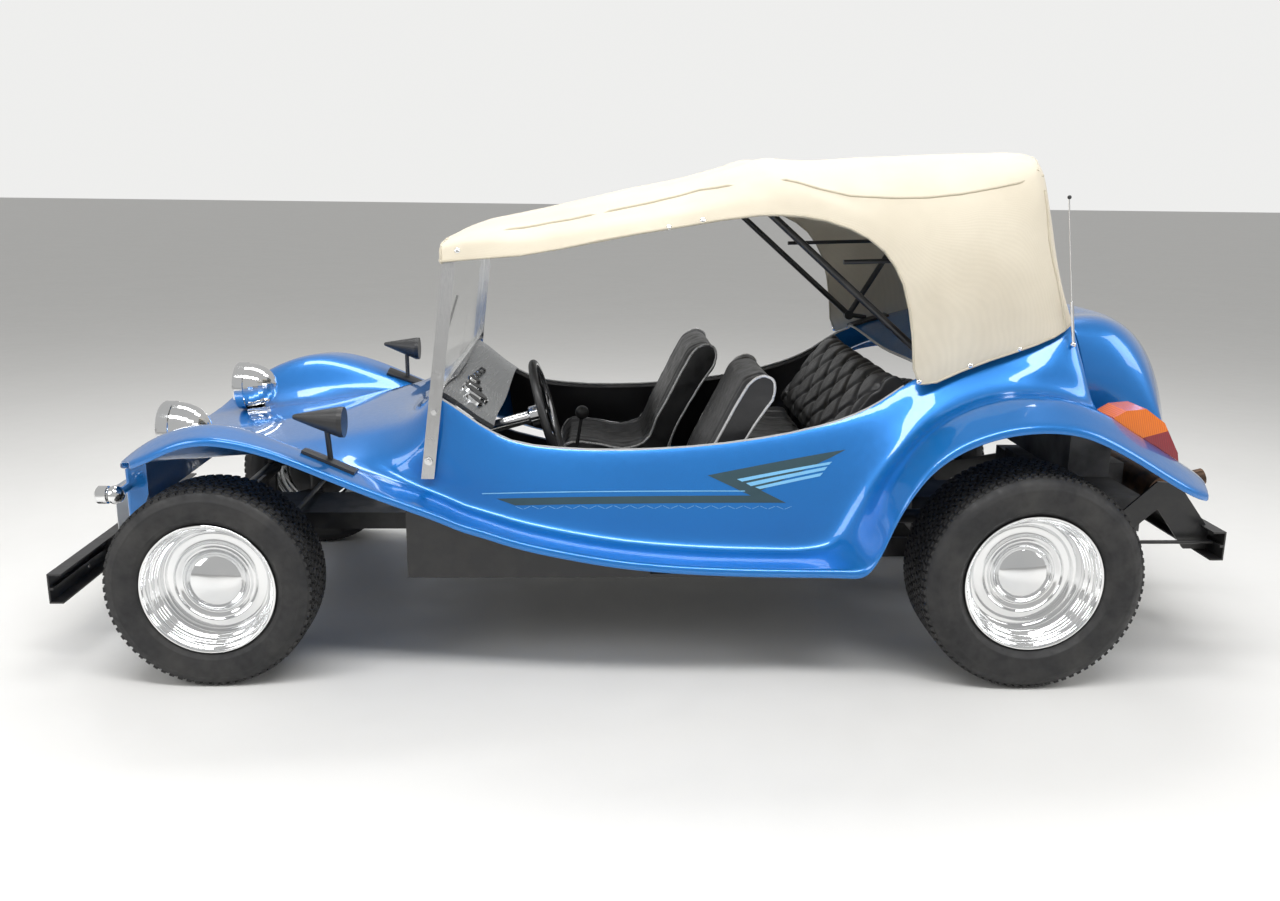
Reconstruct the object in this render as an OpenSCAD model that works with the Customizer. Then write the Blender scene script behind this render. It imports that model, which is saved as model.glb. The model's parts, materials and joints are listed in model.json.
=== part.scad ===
// Four-seat dune buggy with a one-piece glass-fibre body and a canvas top.
// +X is forward, +Y is the driver's side (left), +Z is up. The origin is on the ground,
// under the centre of the overall length.

/* [Chassis] */
// Distance between the front and rear axles
wheelbase = 2400; // [2200:10:2900]
// Distance between the centres of the front tyres
front_track = 1354; // [1330:2:1500]
// Distance between the centres of the rear tyres
rear_track = 1404; // [1380:2:1560]
// Height of the underside of the floor pan
pan_height = 285; // [260:5:340]
// Front bumper's face ahead of the front axle
front_overhang = 535; // [500:5:700]
// Tailpipe's end behind the rear axle
rear_overhang = 780; // [740:5:950]

/* [Wheels] */
// Outer radius of the front tyres
front_tyre_r = 302; // [270:1:320]
// Outer radius of the rear tyres
rear_tyre_r = 332; // [300:1:345]
// Width of the front tyres over the sidewalls
front_tyre_w = 215; // [180:5:230]
// Width of the rear tyres over the sidewalls
rear_tyre_w = 272; // [225:5:285]
// Lip radius of the front rims
front_rim_r = 196; // [180:1:205]
// Lip radius of the rear rims
rear_rim_r = 207; // [190:1:215]

/* [Body] */
// Width of the body over the rear fenders
body_width = 1720; // [1700:10:2000]
// Height of the cowl above the underside of the floor pan
cowl_height = 555; // [500:5:660]
// Thickness of the glass-fibre shell
shell_t = 7; // [5:0.5:9]
// Thickness of the upholstered side linings
lining_t = 16; // [10:1:22]
// Thickness of the canvas top
canvas_t = 5; // [3:0.5:7]
// Height of the roof above the cowl
roof_height = 720; // [660:5:860]
// Thickness of the windshield glass
glass_t = 6; // [4:0.5:8]

/* [Cabin] */
// Width of each front seat
seat_width = 450; // [380:5:480]
// Distance of the front seats from the centre line
seat_offset = 292; // [280:1:300]
// Radius of the steering wheel
steering_wheel_r = 175; // [150:5:185]

/* [Hidden] */
$fn = 48;

// Running and seating clearances
seat_gap = 0.3;
spin_gap = 0.06;

// The body's points are drawn for these sizes and carried to the chosen ones by fit()
drawn_wheelbase = 2400;
drawn_width = 1720;
drawn_pan = 285;
drawn_cowl = 555;
half_base = wheelbase / 2;
base_change = half_base - drawn_wheelbase / 2;
datum_x = (rear_overhang - front_overhang) / 2;
cowl_z = pan_height + cowl_height;
roof_change = roof_height - 720;

function fit_x(x) = abs(x) > drawn_wheelbase / 2 ? x + sign(x) * base_change : x * wheelbase / drawn_wheelbase;
function fit_y(y) = y * body_width / drawn_width;
function fit_z(z) = pan_height + (z - drawn_pan) * cowl_height / drawn_cowl
    + (z > drawn_pan + drawn_cowl ? roof_change * min(1, (z - drawn_pan - drawn_cowl) / 660) : 0);
function fit(p) = [fit_x(p[0]), fit_y(p[1]), fit_z(p[2])];

// --- Smooth curves through chosen points ---
reach = 1.5;
function span(a, b) = max(norm(b - a), 0.001);
function lean(a, b, c) = ((b - a) * span(b, c) / span(a, b) + (c - b) * span(a, b) / span(b, c))
    / (span(a, b) + span(b, c));
function curve(a, b, c, d, t) = let (
    m = span(b, c),
    t2 = t * t,
    t3 = t2 * t
) b * (2 * t3 - 3 * t2 + 1) + lean(a, b, c) * min(m, reach * span(a, b)) * (t3 - 2 * t2 + t)
  + c * (3 * t2 - 2 * t3) + lean(b, c, d) * min(m, reach * span(c, d)) * (t3 - t2);
function before(v, i) = i > 0 ? v[i - 1] : 2 * v[0] - v[1];
function after(v, i) = i < len(v) - 1 ? v[i + 1] : 2 * v[i] - v[i - 1];
function smooth(v, n) = [
    for (i = [0 : len(v) - 2])
        for (k = [0 : n - 1]) curve(before(v, i), v[i], v[i + 1], after(v, i + 1), k / n),
    v[len(v) - 1]
];
function column(ribs, j) = [for (r = ribs) r[j]];
function turned(m) = [for (j = [0 : len(m[0]) - 1]) column(m, j)];
function mirrored(rib) = concat(
    [for (j = [len(rib) - 1 : -1 : 1]) [rib[j][0], -rib[j][1], rib[j][2]]], rib);

// --- Sheets: a grid of points given a thickness, with some of its squares left out ---
function clamp(v, hi) = max(0, min(hi, v));
function normal_at(g, i, j) = let (
    a = g[clamp(i + 1, len(g) - 1)][j] - g[clamp(i - 1, len(g) - 1)][j],
    b = g[i][clamp(j + 1, len(g[0]) - 1)] - g[i][clamp(j - 1, len(g[0]) - 1)],
    n = cross(b, a)
) n / max(norm(n), 0.001);
function raised(g, h) = [
    for (i = [0 : len(g) - 1]) [for (j = [0 : len(g[0]) - 1]) g[i][j] + normal_at(g, i, j) * h]
];
function flat(g) = [for (r = g) for (p = r) p];
function quad(a, b, c, d) = [[a, b, c], [a, c, d]];

// keep is a list of rows, one true or false for each square
module sheet(g, low, high, keep) {
    rows = len(g) - 1;
    cols = len(g[0]) - 1;
    w = cols + 1;
    n = (rows + 1) * w;
    function kept(i, j) = i >= 0 && j >= 0 && i < rows && j < cols && keep[i][j];
    function wall(p, q) = quad(q, p, p + n, q + n);
    faces = [
        for (i = [0 : rows - 1]) for (j = [0 : cols - 1]) if (kept(i, j)) let (
            a = i * w + j,
            b = a + w,
            c = b + 1,
            d = a + 1
        ) each concat(
            quad(a, b, c, d),
            quad(c + n, b + n, a + n, d + n),
            kept(i, j - 1) ? [] : wall(a, b),
            kept(i + 1, j) ? [] : wall(b, c),
            kept(i, j + 1) ? [] : wall(c, d),
            kept(i - 1, j) ? [] : wall(d, a)
        )
    ];
    polyhedron(points = concat(flat(raised(g, high)), flat(raised(g, low))), faces = faces, convexity = 12);
}

// The same columns on the other side of the body
function across(cols) = [body_cols - cols[1], body_cols - cols[0]];

// A patch of a grid, between two rows and two columns
module patch(g, low, high, rows, cols) {
    sheet([for (i = [rows[0] : rows[1]]) [for (j = [cols[0] : cols[1]]) g[i][j]]], low, high,
        [for (i = [rows[0] : rows[1] - 1]) [for (j = [cols[0] : cols[1] - 1]) true]]);
}

// A round bar along a list of points, with its own radius
module bar(points, r, sides = 12) {
    n = len(points);
    dirs = [for (i = [0 : n - 1]) let (d = points[min(i + 1, n - 1)] - points[max(i - 1, 0)]) d / norm(d)];
    ups = [for (d = dirs) abs(d[2]) > 0.95 ? [1, 0, 0] : [0, 0, 1]];
    u = [for (i = [0 : n - 1]) let (c = cross(dirs[i], ups[0])) c / norm(c)];
    v = [for (i = [0 : n - 1]) cross(u[i], dirs[i])];
    ring = [for (i = [0 : n - 1]) for (k = [0 : sides - 1])
        points[i] + r * (cos(360 * k / sides) * u[i] + sin(360 * k / sides) * v[i])];
    walls = [for (i = [0 : n - 2]) for (k = [0 : sides - 1]) let (
        a = i * sides + k,
        b = i * sides + (k + 1) % sides
    ) each quad(a, b, b + sides, a + sides)];
    caps = [[for (k = [sides - 1 : -1 : 0]) k], [for (k = [0 : sides - 1]) (n - 1) * sides + k]];
    polyhedron(points = ring, faces = concat(walls, caps), convexity = 6);
}

// A cylinder from one point to another
module rod(a, b, r) {
    d = b - a;
    translate(a)
        rotate([0, acos(d[2] / norm(d)), atan2(d[1], d[0])])
            cylinder(h = norm(d), r = r);
}

module both_sides() {
    children();
    mirror([0, 1, 0]) children();
}

module block(low, high) {
    translate(low) cube(high - low);
}

// --- The body's ribs, from the nose to the tail ---
// Each rib runs from the centre line out: centre, shoulder, waist, fender root, fender crest, lip.
// Along the cabin the shoulder is the cabin's rim, and the centre is only a help line over the hole.
body_ribs = [
    [[1562, 0, 572], [1558, 300, 574], [1550, 410, 578], [1535, 480, 590], [1482, 612, 640], [1415, 712, 668]],
    [[1460, 0, 597], [1460, 300, 594], [1455, 400, 598], [1440, 475, 622], [1392, 612, 708], [1340, 755, 702]],
    [[1300, 0, 620], [1300, 320, 612], [1295, 425, 615], [1290, 488, 650], [1272, 612, 752], [1240, 785, 748]],
    [[1150, 0, 645], [1150, 340, 632], [1150, 440, 630], [1150, 505, 662], [1150, 618, 757], [1145, 800, 760]],
    [[1000, 0, 668], [1000, 365, 652], [1000, 465, 636], [1000, 540, 648], [1000, 640, 714], [995, 802, 728]],
    [[860, 0, 695], [860, 405, 676], [860, 510, 640], [855, 580, 622], [850, 662, 660], [850, 802, 668]],
    [[720, 0, 728], [715, 450, 708], [712, 550, 650], [705, 612, 596], [700, 680, 600], [700, 802, 606]],
    [[615, 0, 772], [610, 540, 770], [600, 606, 690], [590, 640, 566], [585, 700, 560], [580, 802, 560]],
    [[555, 0, 822], [545, 596, 838], [530, 624, 700], [520, 648, 540], [515, 710, 532], [510, 802, 532]],
    [[505, 0, 800], [500, 592, 812], [490, 622, 670], [480, 650, 520], [475, 712, 514], [470, 802, 514]],
    [[440, 0, 758], [430, 582, 758], [420, 620, 630], [410, 654, 498], [405, 714, 492], [400, 802, 492]],
    [[340, 0, 705], [335, 573, 705], [325, 618, 590], [315, 658, 468], [312, 718, 463], [310, 803, 462]],
    [[200, 0, 682], [200, 566, 682], [185, 618, 562], [170, 662, 436], [168, 722, 431], [165, 804, 429]],
    [[20, 0, 676], [20, 566, 676], [5, 620, 545], [-5, 665, 408], [-5, 728, 403], [-5, 805, 400]],
    [[-200, 0, 686], [-200, 566, 686], [-205, 620, 545], [-210, 668, 392], [-210, 732, 386], [-210, 806, 383]],
    [[-420, 0, 714], [-420, 566, 714], [-425, 621, 560], [-430, 670, 386], [-430, 738, 380], [-430, 808, 376]],
    [[-590, 0, 750], [-590, 565, 750], [-600, 624, 596], [-610, 678, 402], [-615, 745, 386], [-620, 814, 376]],
    [[-700, 0, 787], [-700, 562, 787], [-700, 628, 650], [-690, 690, 500], [-690, 768, 420], [-700, 838, 384]],
    [[-775, 0, 826], [-775, 558, 826], [-775, 628, 715], [-765, 685, 620], [-745, 775, 580], [-765, 853, 540]],
    [[-845, 0, 875], [-845, 554, 875], [-850, 620, 780], [-850, 672, 725], [-830, 765, 720], [-842, 860, 680]],
    [[-915, 0, 908], [-915, 550, 912], [-925, 610, 845], [-930, 658, 798], [-925, 752, 802], [-925, 860, 752]],
    [[-1050, 0, 945], [-1050, 545, 956], [-1055, 600, 900], [-1060, 645, 855], [-1060, 742, 857], [-1050, 860, 803]],
    [[-1200, 0, 985], [-1200, 540, 1000], [-1200, 595, 930], [-1200, 640, 872], [-1205, 738, 873], [-1190, 860, 818]],
    [[-1310, 0, 1020], [-1315, 536, 1038], [-1320, 592, 950], [-1325, 636, 855], [-1320, 735, 853], [-1290, 860, 804]],
    [[-1385, 0, 1045], [-1355, 525, 1056], [-1385, 585, 930], [-1420, 622, 816], [-1425, 730, 806], [-1390, 860, 760]],
    [[-1400, 0, 1040], [-1372, 502, 1046], [-1404, 504, 918], [-1442, 506, 798], [-1480, 728, 772], [-1450, 859, 728]],
    [[-1410, 0, 1030], [-1382, 502, 1036], [-1414, 504, 908], [-1560, 508, 735], [-1570, 722, 718], [-1540, 856, 675]],
    [[-1420, 0, 1020], [-1392, 502, 1026], [-1424, 504, 898], [-1670, 508, 672], [-1660, 712, 662], [-1620, 850, 632]],
    [[-1430, 0, 1010], [-1402, 502, 1016], [-1434, 502, 888], [-1765, 510, 620], [-1735, 695, 614], [-1690, 810, 606]]
];
cowl_rib = 8;
deck_rib = 20;
corner_rib = 25;
corner_row = corner_rib * 2;
per_rib = 2;
per_span = [6, 4, 4, 4, 4];
lip_drop = [[0, 5, -12], [0, 3, -26]];
half_cols = 6 + 4 * 4 + 2;

// One rib in full: its curve over the centre line, and its rolled lip on both sides
function spread(rib) = let (
    whole = mirrored(rib),
    steps = concat([for (k = [4 : -1 : 0]) per_span[k]], per_span),
    over = [
        for (i = [0 : len(whole) - 2]) for (k = [0 : steps[i] - 1])
            curve(before(whole, i), whole[i], whole[i + 1], after(whole, i + 1), k / steps[i]),
        whole[len(whole) - 1]
    ],
    lip = rib[len(rib) - 1]
) concat(
    [for (k = [1, 0]) [lip[0], -lip[1] - lip_drop[k][1], lip[2] + lip_drop[k][2]]],
    over,
    [for (k = [0, 1]) lip + lip_drop[k]]
);
long_ribs = turned([for (j = [0 : 5]) smooth(column(body_ribs, j), per_rib)]);
body_grid = [for (r = long_ribs) [for (p = spread(r)) fit(p)]];
body_rows = len(body_grid) - 1;
body_cols = len(body_grid[0]) - 1;
middle = body_cols / 2;
shoulder_col = per_span[0];
root_col = shoulder_col + per_span[1] + per_span[2];

crest_col = root_col + per_span[3];
function skin(i, j, h) = body_grid[i][j] + normal_at(body_grid, i, j) * h;

function off_centre(j) = j < middle ? middle - 1 - j : j - middle;
function body_kept(i, j) = let (c = off_centre(j))
    !(i >= cowl_rib * per_rib && i < deck_rib * per_rib && c < shoulder_col)
    && !(i >= corner_row && c < root_col);

module body_shell() {
    color("dodgerblue")
        sheet(body_grid, -shell_t, 0,
            [for (i = [0 : body_rows - 1]) [for (j = [0 : body_cols - 1]) body_kept(i, j)]]);
}

module side_linings() {
    color("#181818")
        sheet(body_grid, -shell_t - seat_gap - lining_t, -shell_t - seat_gap,
            [for (i = [0 : body_rows - 1]) [for (j = [0 : body_cols - 1])
                i >= (cowl_rib + 2) * per_rib && i < (deck_rib - 1) * per_rib
                && off_centre(j) >= shoulder_col && off_centre(j) < root_col - 1]]);
}

// A thin panel with the body's own curves, one side seated under the shell
dash_t = 14;
module dashboard() {
    color("#6b6d70")
        sheet(body_grid, -shell_t - seat_gap - dash_t, -shell_t - seat_gap,
            [for (i = [0 : body_rows - 1]) [for (j = [0 : body_cols - 1])
                i >= cowl_rib * per_rib - 2 && i < (cowl_rib + 2) * per_rib + 1
                && off_centre(j) < shoulder_col - 1]]);
}

// --- Front apron: the upright panel under the nose, with rounded returns ---
apron_half = 470;
apron_front = 1532;
apron_back = 1462;
apron_low = 428;
apron_round = 16;
module apron_plan(front, back, half, r) {
    translate([back, -half]) square([front - back - r, 2 * half]);
    translate([back, -half + r]) square([front - back, 2 * half - 2 * r]);
    for (s = [-1, 1])
        translate([front - r, s * (half - r)]) circle(r);
}
module front_apron() {
    front = fit_x(apron_front);
    back = fit_x(apron_back);
    half = fit_y(apron_half);
    top = fit_z(640);
    color("dodgerblue")
        resize([0, 0, 0]) difference() {
            translate([0, 0, fit_z(apron_low)])
                linear_extrude(top - fit_z(apron_low))
                    difference() {
                        apron_plan(front, back, half, apron_round);
                        translate([-shell_t, 0]) apron_plan(front, back - shell_t, half - shell_t, apron_round - shell_t);
                    }
            translate([0, 2 * half, 0])
                rotate([90, 0, 0])
                    linear_extrude(4 * half)
                        polygon([[back - 20, fit_z(apron_low) - 1], [front - 30, fit_z(apron_low) - 1],
                            [back + 10, fit_z(apron_low + 50)], [back - 20, fit_z(apron_low + 130)]]);
            patch(body_grid, -shell_t - seat_gap, 150, [0, 4], [2, body_cols - 2]);
        }
}

// --- Floor pan: floor, sills, tunnel, toe board and the posts that carry the body ---
floor_t = 6;
sill_t = 24;
sill_y = 624;
pan_front = 650;
pan_back = -705;
tunnel_half = 60;
tunnel_h = 120;
post_r = 14;
module floor_pan() {
    low = pan_height;
    front = fit_x(pan_front);
    back = fit_x(pan_back);
    side = fit_y(sill_y);
    under = raised([for (i = [26 : 32]) body_grid[i]], -shell_t);
    post_col = middle + root_col + 2;
    color("#161616") {
        block([back, -side, low], [front, side, low + floor_t]);
        both_sides() {
            difference() {
                translate([0, side, 0])
                    rotate([90, 0, 0])
                        linear_extrude(sill_t)
                            polygon([[back, low], [front, low], [front, fit_z(515)], [fit_x(560), fit_z(515)],
                                [fit_x(400), fit_z(462)], [fit_x(170), fit_z(405)], [fit_x(-100), fit_z(350)],
                                [back, fit_z(350)]]);
            }
            block([fit_x(-640), side - 1, low + 40], [fit_x(-80), fit_y(725), low + 48]);
            for (k = [1, 3, 5]) {
                p = under[k][post_col];
                translate([p[0], p[1], low + 47])
                    cylinder(h = p[2] - low - 47 - 1, r = post_r);
            }
        }
        block([back, -tunnel_half, low], [front, tunnel_half, low + tunnel_h]);
        translate([front - 10, 0, 0])
            rotate([90, 0, 90])
                linear_extrude(10)
                    polygon([[-side, low], [side, low], [side, fit_z(515)], [fit_y(600), fit_z(560)],
                        [fit_y(545), fit_z(652)], [fit_y(440), fit_z(700)], [-fit_y(440), fit_z(700)],
                        [-fit_y(545), fit_z(652)], [-fit_y(600), fit_z(560)], [-side, fit_z(515)]]);
        // The raised rear floor over the torsion tube, and the bulkhead behind the bench
        block([back, -fit_y(560), low], [back + 12, fit_y(560), fit_z(605)]);
    }
}

// --- Engine cover, hinged along its front edge ---
cover_t = 6;
cover_ribs = [
    [[-1412, 0, 1046], [-1406, 250, 1048], [-1384, 452, 1048], [-1416, 494, 918], [-1455, 490, 784]],
    [[-1530, 0, 1062], [-1525, 250, 1062], [-1500, 448, 1046], [-1520, 494, 905], [-1560, 490, 724]],
    [[-1640, 0, 1045], [-1625, 250, 1040], [-1575, 450, 1000], [-1590, 494, 850], [-1620, 490, 694]],
    [[-1740, 0, 970], [-1718, 250, 960], [-1645, 455, 905], [-1648, 494, 790], [-1668, 488, 668]],
    [[-1800, 0, 860], [-1776, 250, 850], [-1690, 455, 800], [-1692, 492, 735], [-1704, 488, 650]],
    [[-1835, 0, 740], [-1810, 250, 730], [-1718, 452, 700], [-1720, 490, 670], [-1726, 490, 628]],
    [[-1850, 0, 630], [-1825, 250, 628], [-1735, 450, 624], [-1738, 486, 620], [-1744, 486, 612]]
];
hinge_at = [-1402, 1061];
hinge_y = [90, 160];
hinge_r = 6;
hinge_pin_r = 3;
ear = 10;
module along_y(x, z, y, r) {
    translate([fit_x(x), y[0], fit_z(z)])
        rotate([-90, 0, 0])
            cylinder(h = y[1] - y[0], r = r);
}
function cover_grid() = let (
    along = turned([for (j = [0 : 4]) smooth(column(cover_ribs, j), 2)])
) [for (r = along) [for (p = smooth(mirrored(r), 3)) fit(p)]];
module engine_cover() {
    g = cover_grid();
    color("dodgerblue")
        resize([0, 0, 0]) difference() {
            union() {
                sheet(g, -cover_t, 0, [for (i = [0 : len(g) - 2]) [for (j = [0 : len(g[0]) - 2]) true]]);
                both_sides() {
                    along_y(hinge_at[0], hinge_at[1], hinge_y + [ear + 1, -ear - 1], hinge_r);
                    block([fit_x(-1424), hinge_y[0] + ear + 1, fit_z(1043)],
                        [fit_x(-1404), hinge_y[1] - ear - 1, fit_z(1063)]);
                }
            }
            both_sides()
                along_y(hinge_at[0], hinge_at[1], hinge_y, hinge_pin_r + spin_gap);
        }
}
module cover_hinges() {
    color("#151515") {
        patch(body_grid, seat_gap, seat_gap + 4, [corner_row - 4, corner_row], [middle + 1, middle + 2]);
        patch(body_grid, seat_gap, seat_gap + 4, [corner_row - 4, corner_row], [middle - 2, middle - 1]);
        both_sides() {
            along_y(hinge_at[0], hinge_at[1], hinge_y + [1, -1], hinge_pin_r);
            for (y = [hinge_y[0], hinge_y[1] - ear]) {
                along_y(hinge_at[0], hinge_at[1], [y, y + ear], hinge_r);
                block([fit_x(-1402), y, fit_z(1056)], [fit_x(-1380), y + ear, fit_z(1064)]);
            }
        }
    }
}

// --- Windshield: two flat side posts bolted to the body, rails and a flat glass ---
post_w = 38;
post_t = 6;
post_foot = [578, 640, 601];
post_head = [501, 600, 1258];
rail = 20;
module post() {
    a = fit(post_foot);
    b = fit(post_head);
    points = [for (p = [a, b]) for (x = [-post_w / 2, post_w / 2]) for (y = [0, post_t])
        [p[0] + x, p[1] + y, p[2]]];
    polyhedron(points = points, faces = [[0, 2, 3, 1], [4, 5, 7, 6], [0, 1, 5, 4], [2, 6, 7, 3],
        [0, 4, 6, 2], [1, 3, 7, 5]]);
}
function glass_x(z) = let (a = fit(post_foot), b = fit(post_head)) a[0] + (b[0] - a[0]) * (z - a[2]) / (b[2] - a[2]);
glass_low = 858;
glass_high = 1240;
module tilted_slab(z0, z1, half, t) {
    x0 = glass_x(z0);
    x1 = glass_x(z1);
    translate([0, half, 0])
        rotate([90, 0, 0])
            linear_extrude(2 * half)
                polygon([[x0 - t / 2, z0], [x0 + t / 2, z0], [x1 + t / 2, z1], [x1 - t / 2, z1]]);
}
module windshield_frame() {
    color("#d8dadc") {
        both_sides() post();
        resize([0, 0, 0]) difference() {
            tilted_slab(fit_z(826), fit_z(glass_low), fit_y(629), rail);
            patch(body_grid, -40, seat_gap, [13, 19], [middle - shoulder_col - 3, middle + shoulder_col + 3]);
        }
        tilted_slab(fit_z(glass_high), fit_z(1258), fit_y(610), rail);
        both_sides() {
            for (z = [650, 800])
                translate([glass_x(fit_z(z)), fit_y(632), fit_z(z)])
                    rotate([-90, 0, 0])
                        cylinder(h = fit_y(14), r = 8);
        }
    }
}
module windshield_glass() {
    color("#dfeeee", 0.4)
        tilted_slab(fit_z(glass_low) + seat_gap, fit_z(glass_high) - seat_gap, fit_y(590), glass_t);
}

// --- Steering wheel and its column ---
wheel_centre = fit([240, 300, 733]);
column_tilt = 16;
column_r = 20;
steering_shaft_r = 9;
column_start = 60;
column_bore = 160;
column_end = (fit_x(pan_front) - 10 - seat_gap - wheel_centre[0] - column_r * sin(column_tilt)) / cos(column_tilt);
rim_tube = 13;
module on_column() {
    translate(wheel_centre)
        rotate([0, 90 + column_tilt, 0])
            children();
}
module steering_column() {
    color("#c8c8c8")
        on_column()
            difference() {
                translate([0, 0, column_start]) cylinder(h = column_end - column_start, r = column_r);
                translate([0, 0, column_start - 1])
                    cylinder(h = column_bore - column_start, r = steering_shaft_r + spin_gap);
            }
}
module steering_wheel() {
    color("#101010")
        on_column() {
            rotate_extrude() translate([steering_wheel_r - rim_tube, 0]) circle(rim_tube);
            translate([0, 0, 15]) cylinder(h = column_start - 22, r = 32);
            cylinder(h = column_bore - 20, r = steering_shaft_r);
            for (a = [90, 210, 330])
                rotate([0, 0, a])
                    translate([0, 0, 22])
                        rotate([0, 90 + 8, 0])
                            translate([-6, -12, 0]) cube([5, 24, steering_wheel_r - rim_tube]);
        }
}

// --- Seats ---
// Side outline of a front seat: cushion, then up the front of the back and down its rear
seat_outline = [[-10, 395], [270, 395], [320, 425], [330, 490], [300, 532], [200, 535], [90, 516], [15, 535],
    [-25, 620], [-75, 720], [-125, 820], [-165, 885], [-205, 902], [-240, 885], [-248, 840], [-190, 740],
    [-135, 640], [-90, 540], [-65, 440], [-45, 405]];
module bucket(x, rise) {
    floor_z = pan_height + floor_t + seat_gap;
    outline = [for (p = smooth(seat_outline, 3)) [p[0], fit_z(p[1] + rise)]];
    color("#1a1a1c")
        translate([fit_x(x), 0, 0]) {
            translate([0, seat_width / 2, 0])
                rotate([90, 0, 0])
                    linear_extrude(seat_width) polygon(outline);
            translate([30, -seat_width / 2 + 70, floor_z])
                cube([210, seat_width - 140, fit_z(395 + rise) + 2 - floor_z]);
        }
}
module driver_bucket() {
    translate([0, seat_offset, 0]) bucket(-225, 0);
}
module passenger_bucket() {
    translate([0, -seat_offset, 0]) bucket(-105, 12);
}
bench_w = 960;
bench_top = 605;
cushion_outline = [[-680, 470], [-400, 470], [-372, 490], [-366, 560], [-385, 596], [-430, 605], [-560, 600],
    [-672, 592], [-686, 560], [-686, 490]];
bench_back_outline = [[-700, 606], [-648, 606], [-640, 640], [-690, 720], [-760, 820], [-812, 880], [-850, 892],
    [-878, 868], [-860, 820], [-790, 720], [-730, 640]];
module cushion(outline, width) {
    translate([0, width / 2, 0])
        rotate([90, 0, 0])
            linear_extrude(width)
                polygon([for (p = smooth(outline, 3)) [fit_x(p[0]), fit_z(p[1])]]);
}
module bench_cushion() {
    color("#1a1a1c") {
        cushion(cushion_outline, fit_y(bench_w));
        for (y = [-240, 240])
            block([fit_x(-640), y - 60, pan_height + floor_t + seat_gap], [fit_x(-460), y + 60, fit_z(472)]);
    }
}
module bench_back() {
    color("#1a1a1c")
        cushion(bench_back_outline, fit_y(bench_w));
}

// --- Soft top ---
canvas_ribs = [
    [[531, 0, 1240], [531, 300, 1240], [531, 520, 1238], [530, 616, 1236], [524, 632, 1232]],
    [[531, 0, 1300], [531, 300, 1298], [531, 520, 1293], [529, 616, 1279], [522, 633, 1236]],
    [[316, 0, 1352], [316, 300, 1349], [325, 510, 1318], [325, 590, 1294], [301, 618, 1252]],
    [[72, 0, 1408], [72, 300, 1405], [72, 515, 1352], [72, 579, 1330], [73, 609, 1298]],
    [[-172, 0, 1464], [-172, 300, 1460], [-178, 520, 1404], [-172, 582, 1377], [-156, 609, 1339]],
    [[-354, 0, 1508], [-354, 300, 1507], [-356, 525, 1454], [-362, 584, 1412], [-385, 609, 1374]],
    [[-439, 0, 1532], [-439, 300, 1537], [-447, 520, 1486], [-482, 586, 1424], [-510, 609, 1372]],
    [[-540, 0, 1524], [-540, 300, 1527], [-562, 522, 1456], [-612, 590, 1398], [-647, 609, 1338]],
    [[-690, 0, 1529], [-690, 300, 1532], [-702, 524, 1438], [-725, 592, 1358], [-750, 609, 1276]],
    [[-845, 0, 1537], [-845, 300, 1542], [-840, 525, 1430], [-825, 592, 1310], [-812, 609, 1180]],
    [[-960, 0, 1545], [-960, 300, 1549], [-950, 522, 1444], [-905, 593, 1250], [-848, 612, 1025]],
    [[-1092, 0, 1552], [-1092, 300, 1554], [-1075, 515, 1470], [-990, 592, 1220], [-872, 616, 868]],
    [[-1190, 0, 1558], [-1190, 300, 1559], [-1165, 508, 1500], [-1085, 588, 1226], [-1005, 604, 924]],
    [[-1262, 0, 1556], [-1262, 300, 1557], [-1225, 500, 1515], [-1175, 580, 1236], [-1170, 590, 978]],
    [[-1296, 0, 1470], [-1294, 300, 1470], [-1262, 500, 1420], [-1250, 566, 1220], [-1290, 574, 1024]],
    [[-1326, 0, 1290], [-1324, 300, 1290], [-1298, 496, 1270], [-1300, 552, 1180], [-1338, 560, 1056]],
    [[-1362, 0, 1066], [-1360, 300, 1070], [-1345, 490, 1076], [-1345, 535, 1076], [-1346, 548, 1072]]
];
window_rows = [28, 30];
window_half = 4;
function canvas_grid() = let (
    along = turned([for (j = [0 : 4]) smooth(column(canvas_ribs, j), 2)])
) [for (r = along) [for (p = smooth(mirrored(r), 3)) fit(p)]];
module canvas_part(window) {
    g = canvas_grid();
    cols = len(g[0]) - 1;
    sheet(g, -canvas_t, 0, [for (i = [0 : len(g) - 2]) [for (j = [0 : cols - 1]) let (
        inside = i >= window_rows[0] && i < window_rows[1] && abs(j + 0.5 - cols / 2) < window_half
    ) window ? inside : !inside]]);
}
module canvas_top() {
    color("#e6dcc3") canvas_part(false);
}
module rear_window() {
    g = canvas_grid();
    cols = len(g[0]) - 1;
    color("#dfeeee", 0.4)
        sheet(g, -canvas_t - seat_gap - 2, -canvas_t - seat_gap,
            [for (i = [0 : len(g) - 2]) [for (j = [0 : cols - 1])
                i >= window_rows[0] - 1 && i < window_rows[1] + 1 && abs(j + 0.5 - cols / 2) < window_half + 1]]);
}

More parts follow.
